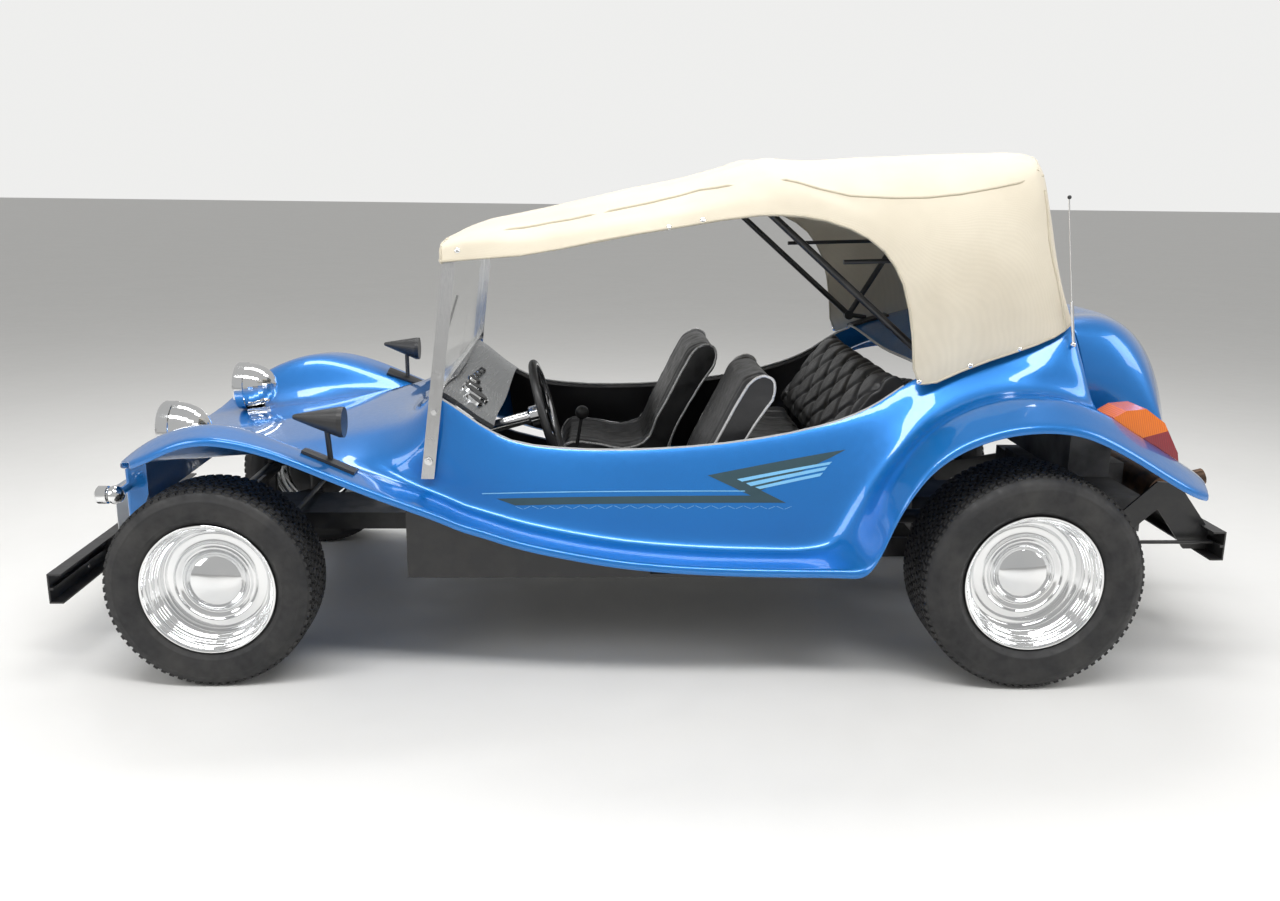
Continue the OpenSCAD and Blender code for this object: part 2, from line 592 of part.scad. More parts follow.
// --- Folding bows under the soft top ---
bow_r = 11;
bow_pivot = [-905, 500, 962];
bow_foot_rows = [40, 42];
function bow(x, z, y) = [for (p = [bow_pivot, [x + 40, y, z - 110], [x + 8, y - 12, z - 40], [x, y - 70, z - 8],
    [x, 150, z], [x, -150, z], [x, -y + 70, z - 8], [x + 8, -y + 12, z - 40], [x + 40, -y, z - 110],
    [bow_pivot[0], -bow_pivot[1], bow_pivot[2]]]) fit(p)];
module top_bows() {
    color("#141414") resize([0, 0, 0]) union() {
        bar(bow(-445, 1506, 500), bow_r);
        bar(bow(-1215, 1530, 486), bow_r);
        both_sides() {
            rod(fit([-655, 500, 1235]), fit([-1075, 498, 1250]), 7);
            translate(fit([bow_pivot[0], bow_pivot[1] - 14, bow_pivot[2]]))
                rotate([-90, 0, 0]) cylinder(h = 28, r = 18, $fn = 24);
            rod(skin(bow_foot_rows[0] + 1, middle + shoulder_col - 1, 9), fit(bow_pivot), 9, $fn = 24);
            patch(body_grid, 2 * seat_gap, 8, bow_foot_rows, [middle + shoulder_col - 2, middle + shoulder_col]);
        }
    }
}

// --- Lamps, mirrors, antenna, plate ---
lamp_r = 88;
lamp_at = [1370, 378, 690];
lamp_len = 145;
lamp_rows = [3, 4];
module headlights() {
    p = fit(lamp_at);
    color("#d8dadc")
        both_sides() {
            translate([p[0] - 60, p[1], p[2]])
                rotate([0, 90, 0])
                    rotate_extrude()
                        polygon(concat([[0, 0]],
                            [for (a = [0 : 10 : 90]) [0.96 * lamp_r * sin(a), (lamp_len - 40) * (1 - cos(a)) - 25]],
                            [[lamp_r, 82], [lamp_r, 112], [lamp_r - 6, 120], [lamp_r * 0.55, 131], [0, 136]]));
            hull() {
                patch(body_grid, 9, 10, lamp_rows, [middle + shoulder_col, middle + shoulder_col + 2]);
                translate([p[0] + 8, p[1], p[2] - lamp_r + 6]) cylinder(h = 4, r = 26, $fn = 32);
            }
        }
    color("#d8dadc") {
        patch(body_grid, 3 * seat_gap, 9.5, lamp_rows, [middle + shoulder_col, middle + shoulder_col + 2]);
        patch(body_grid, 3 * seat_gap, 9.5, lamp_rows, across([middle + shoulder_col, middle + shoulder_col + 2]));
    }
}
module indicators() {
    resize([0, 0, 0]) both_sides() {
        color("#d8dadc")
            translate(fit([1526, 556, 526]))
                sphere(28);
        color("#d8dadc")
            translate([fit_x(1526), fit_y(apron_half) + seat_gap, fit_z(526)])
                rotate([-90, 0, 0]) cylinder(h = fit_y(70), r = 14);
        color("orange")
            translate(fit([1526, 556, 526]))
                rotate([0, 90, 0]) {
                    translate([0, 0, 20]) cylinder(h = 28, r = 27);
                    translate([0, 0, 48]) scale(1) intersection() {
                        translate([0, 0, -24]) sphere(36);
                        cylinder(h = 20, r = 27);
                    }
                }
    }
}
mirror_rows = [9, 11];
module side_mirrors() {
    head = fit([850, 712, 786]);
    foot = [middle + crest_col, middle + crest_col + 2];
    color("#151515")
        both_sides() {
            hull() {
                translate(head + [-52, 0, 0]) rotate([0, 90, 0]) cylinder(h = 14, r = 44, $fn = 32);
                translate(head + [30, 6, 8]) sphere(22, $fn = 32);
                translate(head + [84, 8, 16]) sphere(8, $fn = 32);
            }
            rod(skin(mirror_rows[0] + 1, foot[0] + 1, 8), head, 8);
        }
    color("#151515") {
        patch(body_grid, seat_gap, seat_gap + 8, mirror_rows, foot);
        patch(body_grid, seat_gap, seat_gap + 8, mirror_rows, across(foot));
    }
}
tail_outline = [[-1436, 740], [-1436, 805], [-1470, 826], [-1530, 832], [-1590, 790], [-1640, 700], [-1652, 640],
    [-1600, 600]];
tail_y = [578, 700];
module tail_light(side, cols) {
    near = side * fit_y(tail_y[0]);
    far = side * fit_y(tail_y[1]);
    resize([0, 0, 0]) difference() {
        translate([0, max(near, far), 0])
            rotate([90, 0, 0])
                linear_extrude(abs(far - near))
                    polygon([for (p = tail_outline) [fit_x(p[0]), fit_z(p[1])]]);
        patch(body_grid, -160, seat_gap, [44, body_rows], cols);
    }
}
module tail_lights() {
    color("orangered") {
        tail_light(1, [middle + root_col, body_cols - 2]);
        tail_light(-1, [2, middle - root_col]);
    }
}
antenna_at = [47, middle + shoulder_col + 2];
module antenna() {
    a = skin(antenna_at[0], antenna_at[1], 9 + seat_gap);
    b = fit([-1278, 600, 1437]);
    color("#b9bcc0") {
        rod(a, a + (b - a) * 0.3, 5);
        rod(a + (b - a) * 0.29, b, 2);
        translate(a) sphere(9);
    }
}
plate_half = 152;
plate_h = 152;
plate_hole_r = 3.5;
plate_hole_y = 89;
module front_plate() {
    color("#f0f0ee")
        difference() {
            translate([front_face - 36, -plate_half, front_bumper_z + bumper_h / 2 + seat_gap])
                cube([2, 2 * plate_half, plate_h]);
            for (y = [-plate_hole_y, plate_hole_y])
                translate([front_face - 40, y, front_bumper_z + bumper_h / 2 + plate_h - 18])
                    rotate([0, 90, 0])
                        cylinder(h = 10, r = plate_hole_r);
        }
}

// --- Bumpers: C-channels with a mid rib, open to the vehicle ---
bumper_h = 94;
bumper_t = 5;
bumper_deep = 42;
front_bumper_half = 600;
rear_bumper_half = 550;
front_bumper_z = 242;
rear_bumper_z = 359;
bolt_r = 6.5;
tow_hole_y = 330;
front_face = half_base + front_overhang;
rear_face = half_base + 712;
module channel(half, face) {
    h = bumper_h / 2;
    difference() {
        translate([face, 0, 0])
            rotate([90, 0, 0])
                translate([0, 0, -half])
                    linear_extrude(2 * half)
                        polygon([[0, -h], [0, h], [-bumper_deep, h], [-bumper_deep, h - bumper_t],
                            [-bumper_t, h - bumper_t], [-bumper_t, 4], [-16, 4], [-16, -4], [-bumper_t, -4],
                            [-bumper_t, bumper_t - h], [-bumper_deep, bumper_t - h], [-bumper_deep, -h]]);
        for (y = [-tow_hole_y, tow_hole_y])
            translate([face - 30, y, -22])
                rotate([0, 90, 0])
                    cylinder(h = 60, r = bolt_r);
    }
}
arm_y = 210;
rear_arm_y = 470 - seat_gap;
module front_bumper() {
    color("#2a2b2d")
        translate([0, 0, front_bumper_z]) {
            channel(front_bumper_half, front_face);
            both_sides()
                block([half_base + beam_x + beam_r + seat_gap, arm_y, -12], [front_face - 15, arm_y + 8, 34]);
        }
}
module rear_bumper() {
    color("#2a2b2d") {
        translate([0, 0, rear_bumper_z])
            mirror([1, 0, 0]) channel(rear_bumper_half, rear_face);
        both_sides()
            translate([0, rear_arm_y, 0])
                rotate([90, 0, 0])
                    linear_extrude(8)
                        polygon([[-rear_face + 15, rear_bumper_z - 34], [-rear_face + 15, rear_bumper_z + 34],
                            [-rear_face + 130, rear_bumper_z + 185], [-rear_face + 200, rear_bumper_z + 190],
                            [-rear_face + 330, rear_bumper_z + 66], [-half_base - 43, rear_tyre_r + 32],
                            [-half_base - 43, rear_tyre_r - 28], [-rear_face + 330, rear_bumper_z - 30],
                            [-rear_face + 190, rear_bumper_z + 100], [-rear_face + 90, rear_bumper_z - 34]]);
        both_sides()
            rod([-rear_face + 4, 505, rear_bumper_z], [-rear_face + 330, 505, rear_bumper_z], 6);
    }
}

// --- Wheels ---
front_rim_half = 96;
rear_rim_half = 115;
flange_h = 17;
well_depth = 22;
rim_t = 5;
spindle_r = 17;
drum_r = 112;
tyre_wall = 12;
cap_r = 119;

// The rim's ring and its disc as one turned section, then the drum with its bearing bore
module rim(r, half, disc_y, drum_in, bore_r) {
    seat = r - flange_h;
    well = seat - well_depth;
    outer = [[half, r], [half - 5, r], [half - 9, r - 4], [half - 10, seat], [half - 34, seat - 2],
        [half - 46, well], [-half + 52, well], [-half + 40, seat - 2], [-half + 10, seat], [-half + 9, r - 4],
        [-half + 5, r], [-half, r]];
    inner = [for (k = [len(outer) - 1 : -1 : 0]) [
        outer[k][0] + (outer[k][0] > 0 ? 1 : -1) * (abs(outer[k][0]) > half - 8 ? 0 : rim_t * 0.6),
        outer[k][1] - rim_t]];
    difference() {
        union() {
            rotate([-90, 0, 0])
                rotate_extrude()
                    polygon([for (p = concat(outer, inner)) [p[1], p[0]]]);
            rotate([-90, 0, 0])
                rotate_extrude()
                    polygon([[0, disc_y - 6], [well - 1, disc_y - 6], [well - 1, disc_y], [cap_r + 4, disc_y],
                        [cap_r, disc_y + 5], [cap_r - 14, disc_y + 5], [cap_r - 20, disc_y], [0, disc_y]]);
            rotate([-90, 0, 0])
                translate([0, 0, drum_in]) cylinder(h = disc_y - 6 - drum_in, r = drum_r);
            rotate([-90, 0, 0])
                translate([0, 0, disc_y - 1])
                    rotate_extrude()
                        polygon(concat([[0, 0], [cap_r - 22, 0]],
                            [for (a = [0 : 10 : 90]) [(cap_r - 22) * cos(a), 6 + 38 * sin(a)]]));
        }
        rotate([-90, 0, 0])
            translate([0, 0, drum_in - 1])
                cylinder(h = disc_y + 12 - drum_in, r = bore_r);
    }
}
module tyre(r, w, rim_r, half) {
    seat = rim_r - flange_h + seat_gap;
    in_y = half - 10 - seat_gap;
    side = w / 2;
    tread = side * 0.76;
    high = r - rim_r;
    edge = [[seat, in_y], [rim_r, in_y], [rim_r + 5, in_y + 4], [rim_r + 0.28 * high, side - 3],
        [rim_r + 0.5 * high, side], [rim_r + 0.72 * high, side - 5], [r - 9, tread + 8], [r - 3, tread - 1],
        [r, tread * 0.6]];
    hollow = [[r - tyre_wall - 5, tread * 0.8], [rim_r + 0.72 * high, side - tyre_wall - 3],
        [rim_r + 0.4 * high, side - tyre_wall], [rim_r, in_y - tyre_wall], [seat, in_y - tyre_wall]];
    rotate([-90, 0, 0])
        rotate_extrude()
            polygon(concat(edge,
                [for (k = [len(edge) - 1 : -1 : 0]) [edge[k][0], -edge[k][1]]],
                [for (k = [len(hollow) - 1 : -1 : 0]) [hollow[k][0], -hollow[k][1]]],
                hollow));
}
module front_place() { translate([half_base, front_track / 2, front_tyre_r]) children(); }
module rear_place() { translate([-half_base, rear_track / 2, rear_tyre_r]) children(); }
front_drum_in = -76;
rear_drum_in = -112;
module front_rim_left() {
    color("#d8dadc") front_place() rim(front_rim_r, front_rim_half, 12, front_drum_in, spindle_r + spin_gap);
}
module front_rim_right() { mirror([0, 1, 0]) front_rim_left(); }
module rear_rim_left() {
    color("#d8dadc") rear_place() rim(rear_rim_r, rear_rim_half, 16, rear_drum_in, spindle_r + spin_gap);
}
module rear_rim_right() { mirror([0, 1, 0]) rear_rim_left(); }
module front_tyre_left() {
    color("#1b1b1d") front_place() tyre(front_tyre_r, front_tyre_w, front_rim_r, front_rim_half);
}
module front_tyre_right() { mirror([0, 1, 0]) front_tyre_left(); }
module rear_tyre_left() {
    color("#1b1b1d") rear_place() tyre(rear_tyre_r, rear_tyre_w, rear_rim_r, rear_rim_half);
}
module rear_tyre_right() { mirror([0, 1, 0]) rear_tyre_left(); }

// --- Front axle: two beam tubes, trailing arms and the king pin lugs ---
beam_x = 130;
beam_gap = 60;
beam_r = 26;
beam_half = 436;
pin_in = 137;
pin_r = 14;
pin_z = 62;
lug_t = 16;
lug_r = 26;
king_y = front_track / 2 - pin_in;
arm_len = 110;
arm_z = 40;
module front_axle() {
    color("#202124") {
        for (s = [-1, 1])
            translate([half_base + beam_x, 0, front_tyre_r + s * beam_gap])
                rotate([90, 0, 0]) cylinder(h = 2 * beam_half, r = beam_r, center = true);
        both_sides() {
            block([half_base + beam_x - 12, beam_half - 50, front_tyre_r - beam_gap],
                [half_base + beam_x + 12, beam_half - 20, front_tyre_r + beam_gap + 110]);
            for (s = [-1, 1])
                difference() {
                    translate([half_base, king_y, front_tyre_r + s * (pin_z + lug_t / 2) - lug_t / 2]) {
                        cylinder(h = lug_t, r = lug_r);
                        translate([0, 0, 0])
                            linear_extrude(lug_t)
                                polygon([[-6, -lug_r + 1], [beam_x, beam_half - king_y - 34],
                                    [beam_x, beam_half - king_y - 2], [12, lug_r - 4], [0, 0]]);
                    }
                    translate([half_base, king_y, front_tyre_r + s * (pin_z + lug_t / 2) - 20])
                        cylinder(h = 40, r = pin_r + spin_gap);
                }
        }
    }
}
module knuckle_left() {
    color("#202124")
        translate([half_base, king_y, front_tyre_r]) {
            translate([0, 0, -pin_z - lug_t + 1]) cylinder(h = 2 * (pin_z + lug_t - 1), r = pin_r);
            translate([0, 0, -pin_z + 1]) cylinder(h = 2 * (pin_z - 1), r = 24);
            rotate([-90, 0, 0]) cylinder(h = pin_in + 8, r = spindle_r);
            translate([0, pin_in + front_drum_in - 12, 0]) rotate([-90, 0, 0]) cylinder(h = 6, r = 116);
            rotate([-90, 0, 0]) cylinder(h = pin_in + front_drum_in - 8, r = 30);
            translate([-arm_len, -13, arm_z]) cube([arm_len, 26, 12]);
            translate([-arm_len, 0, arm_z]) cylinder(h = 12, r = 15);
        }
}
module knuckle_right() { mirror([0, 1, 0]) knuckle_left(); }
rod_r = 8;
module tie_rod() {
    z = front_tyre_r + arm_z + 12 + 0.5;
    x = half_base - arm_len;
    color("#55585c") {
        translate([x, 0, z + rod_r + 2]) rotate([90, 0, 0]) cylinder(h = 2 * king_y, r = rod_r, center = true);
        both_sides() translate([x, king_y, z]) cylinder(h = 2 * rod_r + 6, r = 13);
    }
}

// --- Frame head, between the floor pan and the front beam ---
head_half = 130;
module frame_head() {
    color("#161616")
        block([fit_x(pan_front) + seat_gap, -head_half, pan_height],
            [half_base + beam_x - beam_r - seat_gap, head_half, pan_height + 58]);
    color("#161616")
        block([half_base + beam_x - beam_r - seat_gap - 12, -head_half - 60, front_tyre_r - beam_gap - 20],
            [half_base + beam_x - beam_r - seat_gap, head_half + 60, front_tyre_r + beam_gap + 30]);
}

// --- Rear axle: torsion tube, horns, axle tubes and spring plates ---
torsion_r = 45;
horn_y = 160;
horn_r = 25;
tube_r = 38;
rear_end = rear_track / 2 + rear_drum_in - 12;
gearbox_half = horn_y - horn_r - seat_gap;
module rear_axle() {
    x0 = fit_x(pan_back) - seat_gap - torsion_r;
    z = rear_tyre_r;
    color("#202124") {
        translate([x0, 0, z + 10]) rotate([90, 0, 0]) cylinder(h = 960, r = torsion_r, center = true);
        both_sides() {
            rod([x0, horn_y, z + 10], [-half_base - 225, horn_y, z + 10], horn_r);
            translate([-half_base, gearbox_half + 2 * seat_gap, z])
                rotate([-90, 0, 0]) cylinder(h = rear_end - gearbox_half - 2 * seat_gap, r = tube_r);
            translate([-half_base, rear_end, z]) rotate([-90, 0, 0]) cylinder(h = 6, r = 120);
            translate([-half_base, rear_end - 1, z])
                rotate([-90, 0, 0]) cylinder(h = rear_track / 2 + 12 - rear_end, r = spindle_r);
            block([-half_base - 150, 470, z - 30], [x0, 480, z + 34]);
        }
    }
}
module gearbox() {
    x1 = -half_base + 170;
    x2 = -half_base - 229;
    color("#3a3c3f") {
        block([-half_base - 70, -gearbox_half, rear_tyre_r - 75], [-half_base + 70, gearbox_half, rear_tyre_r + 60]);
        block([x2, -110, rear_tyre_r - 60], [x1, 110, rear_tyre_r + 62]);
    }
}
module engine() {
    x2 = -half_base - 229 - seat_gap;
    color("#2c2d30") {
        block([x2 - 340, -115, rear_tyre_r - 40], [x2, 115, rear_tyre_r + 190]);
        block([x2 - 290, -370, rear_tyre_r + 20], [x2 - 60, 370, rear_tyre_r + 140]);
        block([x2 - 200, -300, rear_tyre_r + 189], [x2 - 60, 300, rear_tyre_r + 470]);
    }
}

// --- Exhaust ---
muffler_r = 62;
muffler_half = 300;
tip_y = 300;
module exhaust() {
    x = -half_base - 229 - 340 - muffler_r - seat_gap * 2;
    z = rear_tyre_r + 130;
    color("#2b2724") {
        translate([x, 0, z]) rotate([90, 0, 0]) cylinder(h = 2 * muffler_half, r = muffler_r, center = true);
    }
    color("#d8dadc")
        both_sides()
            rod([x, tip_y - 40, z + 15], [-half_base - rear_overhang + 7, tip_y - 40, z + 50], 28);
}
module controls() {
    z = pan_height + tunnel_h + seat_gap;
    color("#1a1a1a") {
        translate([fit_x(170), 0, z]) {
            cylinder(h = 20, r = 30);
            rod([0, 0, 10], [-40, 0, 260], 6);
            translate([-40, 0, 265]) sphere(24);
        }
        translate([fit_x(-60), 0, z]) {
            translate([-60, -14, 0]) cube([120, 28, 18]);
            rod([50, 0, 12], [-130, 0, 90], 8);
        }
        for (y = [190, 275, 360])
            hull() {
                translate([fit_x(560), y, pan_height + floor_t + seat_gap]) cylinder(h = 12, r = 14, $fn = 32);
                translate([fit_x(520), y, fit_z(480)]) rotate([0, 60, 0]) cylinder(h = 10, r = 28, $fn = 32);
            }
    }
}
module wiper() {
    color("#101010") {
        rod(skin(13, middle - 2, 12), fit([572, -150, 1060]), 4);
        translate(skin(13, middle - 2, 11 + seat_gap)) sphere(11);
    }
}

module at_datum() { translate([datum_x, 0, 0]) children(); }
at_datum() body_shell();
at_datum() front_apron();
at_datum() floor_pan();
at_datum() engine_cover();
at_datum() cover_hinges();
at_datum() dashboard();
at_datum() windshield_frame();
at_datum() windshield_glass();
at_datum() steering_column();
at_datum() steering_wheel();
at_datum() driver_bucket();
at_datum() passenger_bucket();
at_datum() bench_cushion();
at_datum() bench_back();
at_datum() side_linings();
at_datum() canvas_top();
at_datum() rear_window();
at_datum() top_bows();
at_datum() headlights();
at_datum() indicators();
at_datum() side_mirrors();
at_datum() tail_lights();
at_datum() antenna();
at_datum() front_plate();
at_datum() front_bumper();
at_datum() rear_bumper();
at_datum() front_axle();
at_datum() knuckle_left();
at_datum() knuckle_right();
at_datum() tie_rod();
at_datum() front_rim_left();
at_datum() front_rim_right();
at_datum() rear_rim_left();
at_datum() rear_rim_right();
at_datum() front_tyre_left();
at_datum() front_tyre_right();
at_datum() rear_tyre_left();
at_datum() rear_tyre_right();
at_datum() rear_axle();
at_datum() frame_head();
at_datum() gearbox();
at_datum() engine();
at_datum() exhaust();
at_datum() controls();
at_datum() wiper();
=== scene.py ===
# %% [markdown]
# A four-seat dune buggy, finished for looks. The shapes that carry size and motion come packed from
# the CAD model; this lesson dresses them. Each step is a cell: first a few words on what the real
# piece is and how it could be made, then short code that makes it and prints what it made.
# The frame is loaded first, because every piece here takes its place from it.

# %% Load the frame
import json
import math

import bmesh
import bpy
from mathutils import Matrix, Vector, noise
from mathutils.bvhtree import BVHTree


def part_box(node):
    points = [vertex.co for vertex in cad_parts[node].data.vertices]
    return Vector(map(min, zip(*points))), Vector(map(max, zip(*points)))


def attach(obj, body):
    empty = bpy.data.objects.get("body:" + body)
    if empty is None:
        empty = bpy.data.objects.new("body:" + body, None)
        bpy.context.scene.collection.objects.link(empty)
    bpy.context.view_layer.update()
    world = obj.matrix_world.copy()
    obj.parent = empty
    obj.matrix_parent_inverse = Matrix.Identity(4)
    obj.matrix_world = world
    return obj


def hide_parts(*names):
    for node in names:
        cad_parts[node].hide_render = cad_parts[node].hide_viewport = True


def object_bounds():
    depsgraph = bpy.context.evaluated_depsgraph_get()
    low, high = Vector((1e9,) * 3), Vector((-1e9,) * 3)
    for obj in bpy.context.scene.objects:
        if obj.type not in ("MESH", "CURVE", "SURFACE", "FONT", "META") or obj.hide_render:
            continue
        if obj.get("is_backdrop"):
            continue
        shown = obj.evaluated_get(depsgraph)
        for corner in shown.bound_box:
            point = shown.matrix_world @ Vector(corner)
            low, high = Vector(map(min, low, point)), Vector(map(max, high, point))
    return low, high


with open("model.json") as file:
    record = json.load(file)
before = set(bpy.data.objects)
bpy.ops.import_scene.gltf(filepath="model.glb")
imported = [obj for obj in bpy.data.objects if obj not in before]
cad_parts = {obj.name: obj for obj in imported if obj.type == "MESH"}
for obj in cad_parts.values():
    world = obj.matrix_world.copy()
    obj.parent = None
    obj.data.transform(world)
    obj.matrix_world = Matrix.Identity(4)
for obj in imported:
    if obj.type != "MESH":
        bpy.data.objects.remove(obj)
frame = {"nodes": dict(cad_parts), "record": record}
cad_low, cad_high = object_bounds()
scene = bpy.context.scene

# %% [markdown]
# The camera stands beside the vehicle at eye height, a little ahead of its middle, and looks
# down at it. Its place comes from solving the view against the known wheelbase, so one plain
# matrix sets it: the columns are the camera's right, up and backward directions. Doing it with a
# matrix rather than a Track To constraint keeps the small roll that the view has.

# %% Camera
def turned_camera(yaw, pitch, roll):
    """The camera's turn, for one that looks along -Y before it is turned."""
    ahead = Vector((math.sin(yaw) * math.cos(pitch), -math.cos(yaw) * math.cos(pitch), -math.sin(pitch)))
    right = Vector((-math.cos(yaw), -math.sin(yaw), 0))
    up = right.cross(ahead)
    side = right * math.cos(roll) + up * math.sin(roll)
    top = up * math.cos(roll) - right * math.sin(roll)
    return Matrix((side, top, -ahead)).transposed()


camera = bpy.data.objects.new("camera", bpy.data.cameras.new("camera"))
scene.collection.objects.link(camera)
camera.data.sensor_width = 36
camera.data.lens = 31.81
CAMERA_PLACE = (0.2118, 3.8899, 1.4727)
CAMERA_TURN = dict(yaw=-0.0422, pitch=0.2367, roll=0.0129)
camera.matrix_world = Matrix.Translation(CAMERA_PLACE) @ turned_camera(**CAMERA_TURN).to_4x4()
scene.camera = camera
print("camera at", [round(x, 3) for x in camera.location], "lens", camera.data.lens)

# %% [markdown]
# A few helpers come next. A piece made here starts as a bmesh, Blender's editable mesh, and ends
# as an object that rides on one of the CAD bodies. Its normals are smoothed except across sharp
# corners, which set_sharp_from_angle finds, so a chamfer still reads as a chamfer.

# %% Helpers: pieces
CORNER = math.radians(38)


def cleaned(bm, dist=1e-5):
    """Merge what lies on top of itself, and point every face outwards."""
    bmesh.ops.remove_doubles(bm, verts=bm.verts, dist=dist)
    bmesh.ops.recalc_face_normals(bm, faces=bm.faces)
    return bm


def finished(bm, name, body, material, corner=CORNER):
    """Turn a bmesh into a named piece that rides on a body."""
    mesh = bpy.data.meshes.new(name)
    bm.to_mesh(mesh)
    bm.free()
    mesh.materials.append(material)
    mesh.polygons.foreach_set("use_smooth", [True] * len(mesh.polygons))
    mesh.set_sharp_from_angle(angle=corner)
    piece = bpy.data.objects.new(name, mesh)
    scene.collection.objects.link(piece)
    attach(piece, body)
    return piece


def body_of(node):
    """The body that a CAD node rides on."""
    return next(b for b, nodes in frame["record"]["behaviour"]["bodies"].items() if node in nodes)


def slot_of(node):
    """The material slot that the record gives a CAD node."""
    return next(s["material_slot"] for s in frame["record"]["subparts"] if s["node"] == node)


def smooth_skin(node, name, material, levels=1, flat=0.8):
    """A CAD sheet as a smooth surface: its triangles joined back to squares, then subdivided."""
    bm = bmesh.new()
    bm.from_mesh(frame["nodes"][node].data)
    bmesh.ops.remove_doubles(bm, verts=bm.verts, dist=2e-5)
    bmesh.ops.join_triangles(bm, faces=bm.faces, angle_face_threshold=flat, angle_shape_threshold=3.1)
    piece = finished(bm, name, body_of(node), material)
    rounded = piece.modifiers.new("rounded", "SUBSURF")
    rounded.levels = rounded.render_levels = levels
    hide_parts(node)
    print(name, "has", len(piece.data.polygons), "squares before smoothing")
    return piece


# %% [markdown]
# Materials are built from nodes. Colour, roughness and bump come from noise, Voronoi and wave
# textures read in object coordinates: every piece keeps its place in its mesh, so those are
# metres in the vehicle's own frame, and a pattern has its real scale without any unwrapping.
# Values that are the same all over, such as sheen and coat, are set on the shader itself.

# %% Helpers: materials
class Finish:
    """One procedural material, with short calls for the nodes that it uses."""

    def __init__(self, name, color, roughness=0.5, metallic=0.0, **shader):
        self.material = bpy.data.materials.new(name)
        self.material.use_nodes = True
        self.nodes = self.material.node_tree.nodes
        self.links = self.material.node_tree.links
        self.shader = self.nodes["Principled BSDF"]
        self.place = self.nodes.new("ShaderNodeTexCoord").outputs["Object"]
        self.set("Base Color", (*color, 1))
        self.set("Roughness", roughness)
        self.set("Metallic", metallic)
        for socket, value in shader.items():
            self.set(socket.replace("_", " "), value)
        self.material.diffuse_color = (*color, 1)

    def set(self, socket, value):
        self.shader.inputs[socket].default_value = value

    def node(self, kind, inputs=None, **settings):
        made = self.nodes.new("ShaderNode" + kind)
        for key, value in settings.items():
            setattr(made, key, value)
        for key, value in (inputs or {}).items():
            if isinstance(value, bpy.types.NodeSocket):
                self.links.new(value, made.inputs[key])
            else:
                made.inputs[key].default_value = value
        return made

    def noise(self, scale, detail=4.0, rough=0.5, at=None):
        inputs = {"Vector": at or self.place, "Scale": scale, "Detail": detail, "Roughness": rough}
        made = self.node("TexNoise", inputs)
        return made.outputs["Fac"]

    def cells(self, scale, feature="F1", out="Distance", at=None):
        made = self.node("TexVoronoi", {"Vector": at or self.place, "Scale": scale}, feature=feature)
        return made.outputs[out]

    def stretched(self, scale, turn=(0, 0, 0)):
        inputs = {"Vector": self.place, "Scale": scale, "Rotation": turn}
        return self.node("Mapping", inputs).outputs["Vector"]

    def level(self, value, low, high, to_low=0.0, to_high=1.0):
        span = {"From Min": low, "From Max": high, "To Min": to_low, "To Max": to_high}
        made = self.node("MapRange", {"Value": value, **span})
        return made.outputs["Result"]

    def math(self, kind, a, b=0.0):
        return self.node("Math", {0: a, 1: b}, operation=kind).outputs[0]

    def mix(self, share, a, b, kind="MIX"):
        """A mix of two colours; each may be three numbers or a socket."""
        a, b = ((*c, 1) if isinstance(c, tuple) else c for c in (a, b))
        made = self.node("Mix", {0: share, 6: a, 7: b}, data_type="RGBA", blend_type=kind)
        return made.outputs[2]

    def color(self, socket):
        self.links.new(socket, self.shader.inputs["Base Color"])

    def roughness(self, socket):
        self.links.new(socket, self.shader.inputs["Roughness"])

    def bump(self, height, distance, strength=1.0):
        """Bumps stack: a second call roughens the first one's surface."""
        normal = self.shader.inputs["Normal"]
        inputs = {"Height": height, "Distance": distance, "Strength": strength}
        if normal.links:
            inputs["Normal"] = normal.links[0].from_socket
        self.links.new(self.node("Bump", inputs).outputs["Normal"], normal)


# %% [markdown]
# The body's paint is a metallic blue under clear lacquer. The real one has flakes in its colour
# coat, each a little lighter or darker, and the gloss is in the lacquer on top. So the base is
# half metallic and fairly rough, Voronoi cells of about a millimetre shade it, and the shader's
# coat gives the sharp reflections. Slow noise adds the faint waviness of hand-laid glass fibre.

# %% Paint
paint = Finish("metallic_blue_lacquer", (0.0, 0.16, 0.52), 0.34, 0.45, Coat_Weight=1.0, Coat_Roughness=0.03)
flake = paint.level(paint.cells(1400, out="Color"), 0.0, 1.0, 0.0, 1.0)
drift = paint.noise(2.2, 3)
paint.color(paint.mix(paint.level(drift, 0.3, 0.7), paint.mix(flake, (0.0, 0.135, 0.45), (0.0, 0.18, 0.56)),
    paint.mix(flake, (0.0, 0.15, 0.49), (0.0, 0.195, 0.6))))
paint.roughness(paint.level(paint.noise(60, 3), 0.3, 0.7, 0.3, 0.38))
paint.bump(paint.noise(5.0, 2), 0.0006, 0.5)

# %% [markdown]
# The other hard finishes share that recipe with other values: a satin black for the chassis with
# a little dust, chrome with a few faint cleaning marks, brushed aluminium for the posts, moulded
# plastic with a fine grain, rough cast metal for the engine, and heat-browned steel.

# %% Hard finishes
black = Finish("satin_black_paint", (0.012, 0.012, 0.013), 0.42, 0.0, Coat_Weight=0.25, Coat_Roughness=0.3)
dust = black.level(black.noise(14, 6), 0.45, 0.75)
black.color(black.mix(dust, (0.010, 0.010, 0.011), (0.035, 0.033, 0.031)))
black.roughness(black.level(dust, 0, 1, 0.34, 0.6))
black.bump(black.noise(350, 3), 0.0003, 0.4)

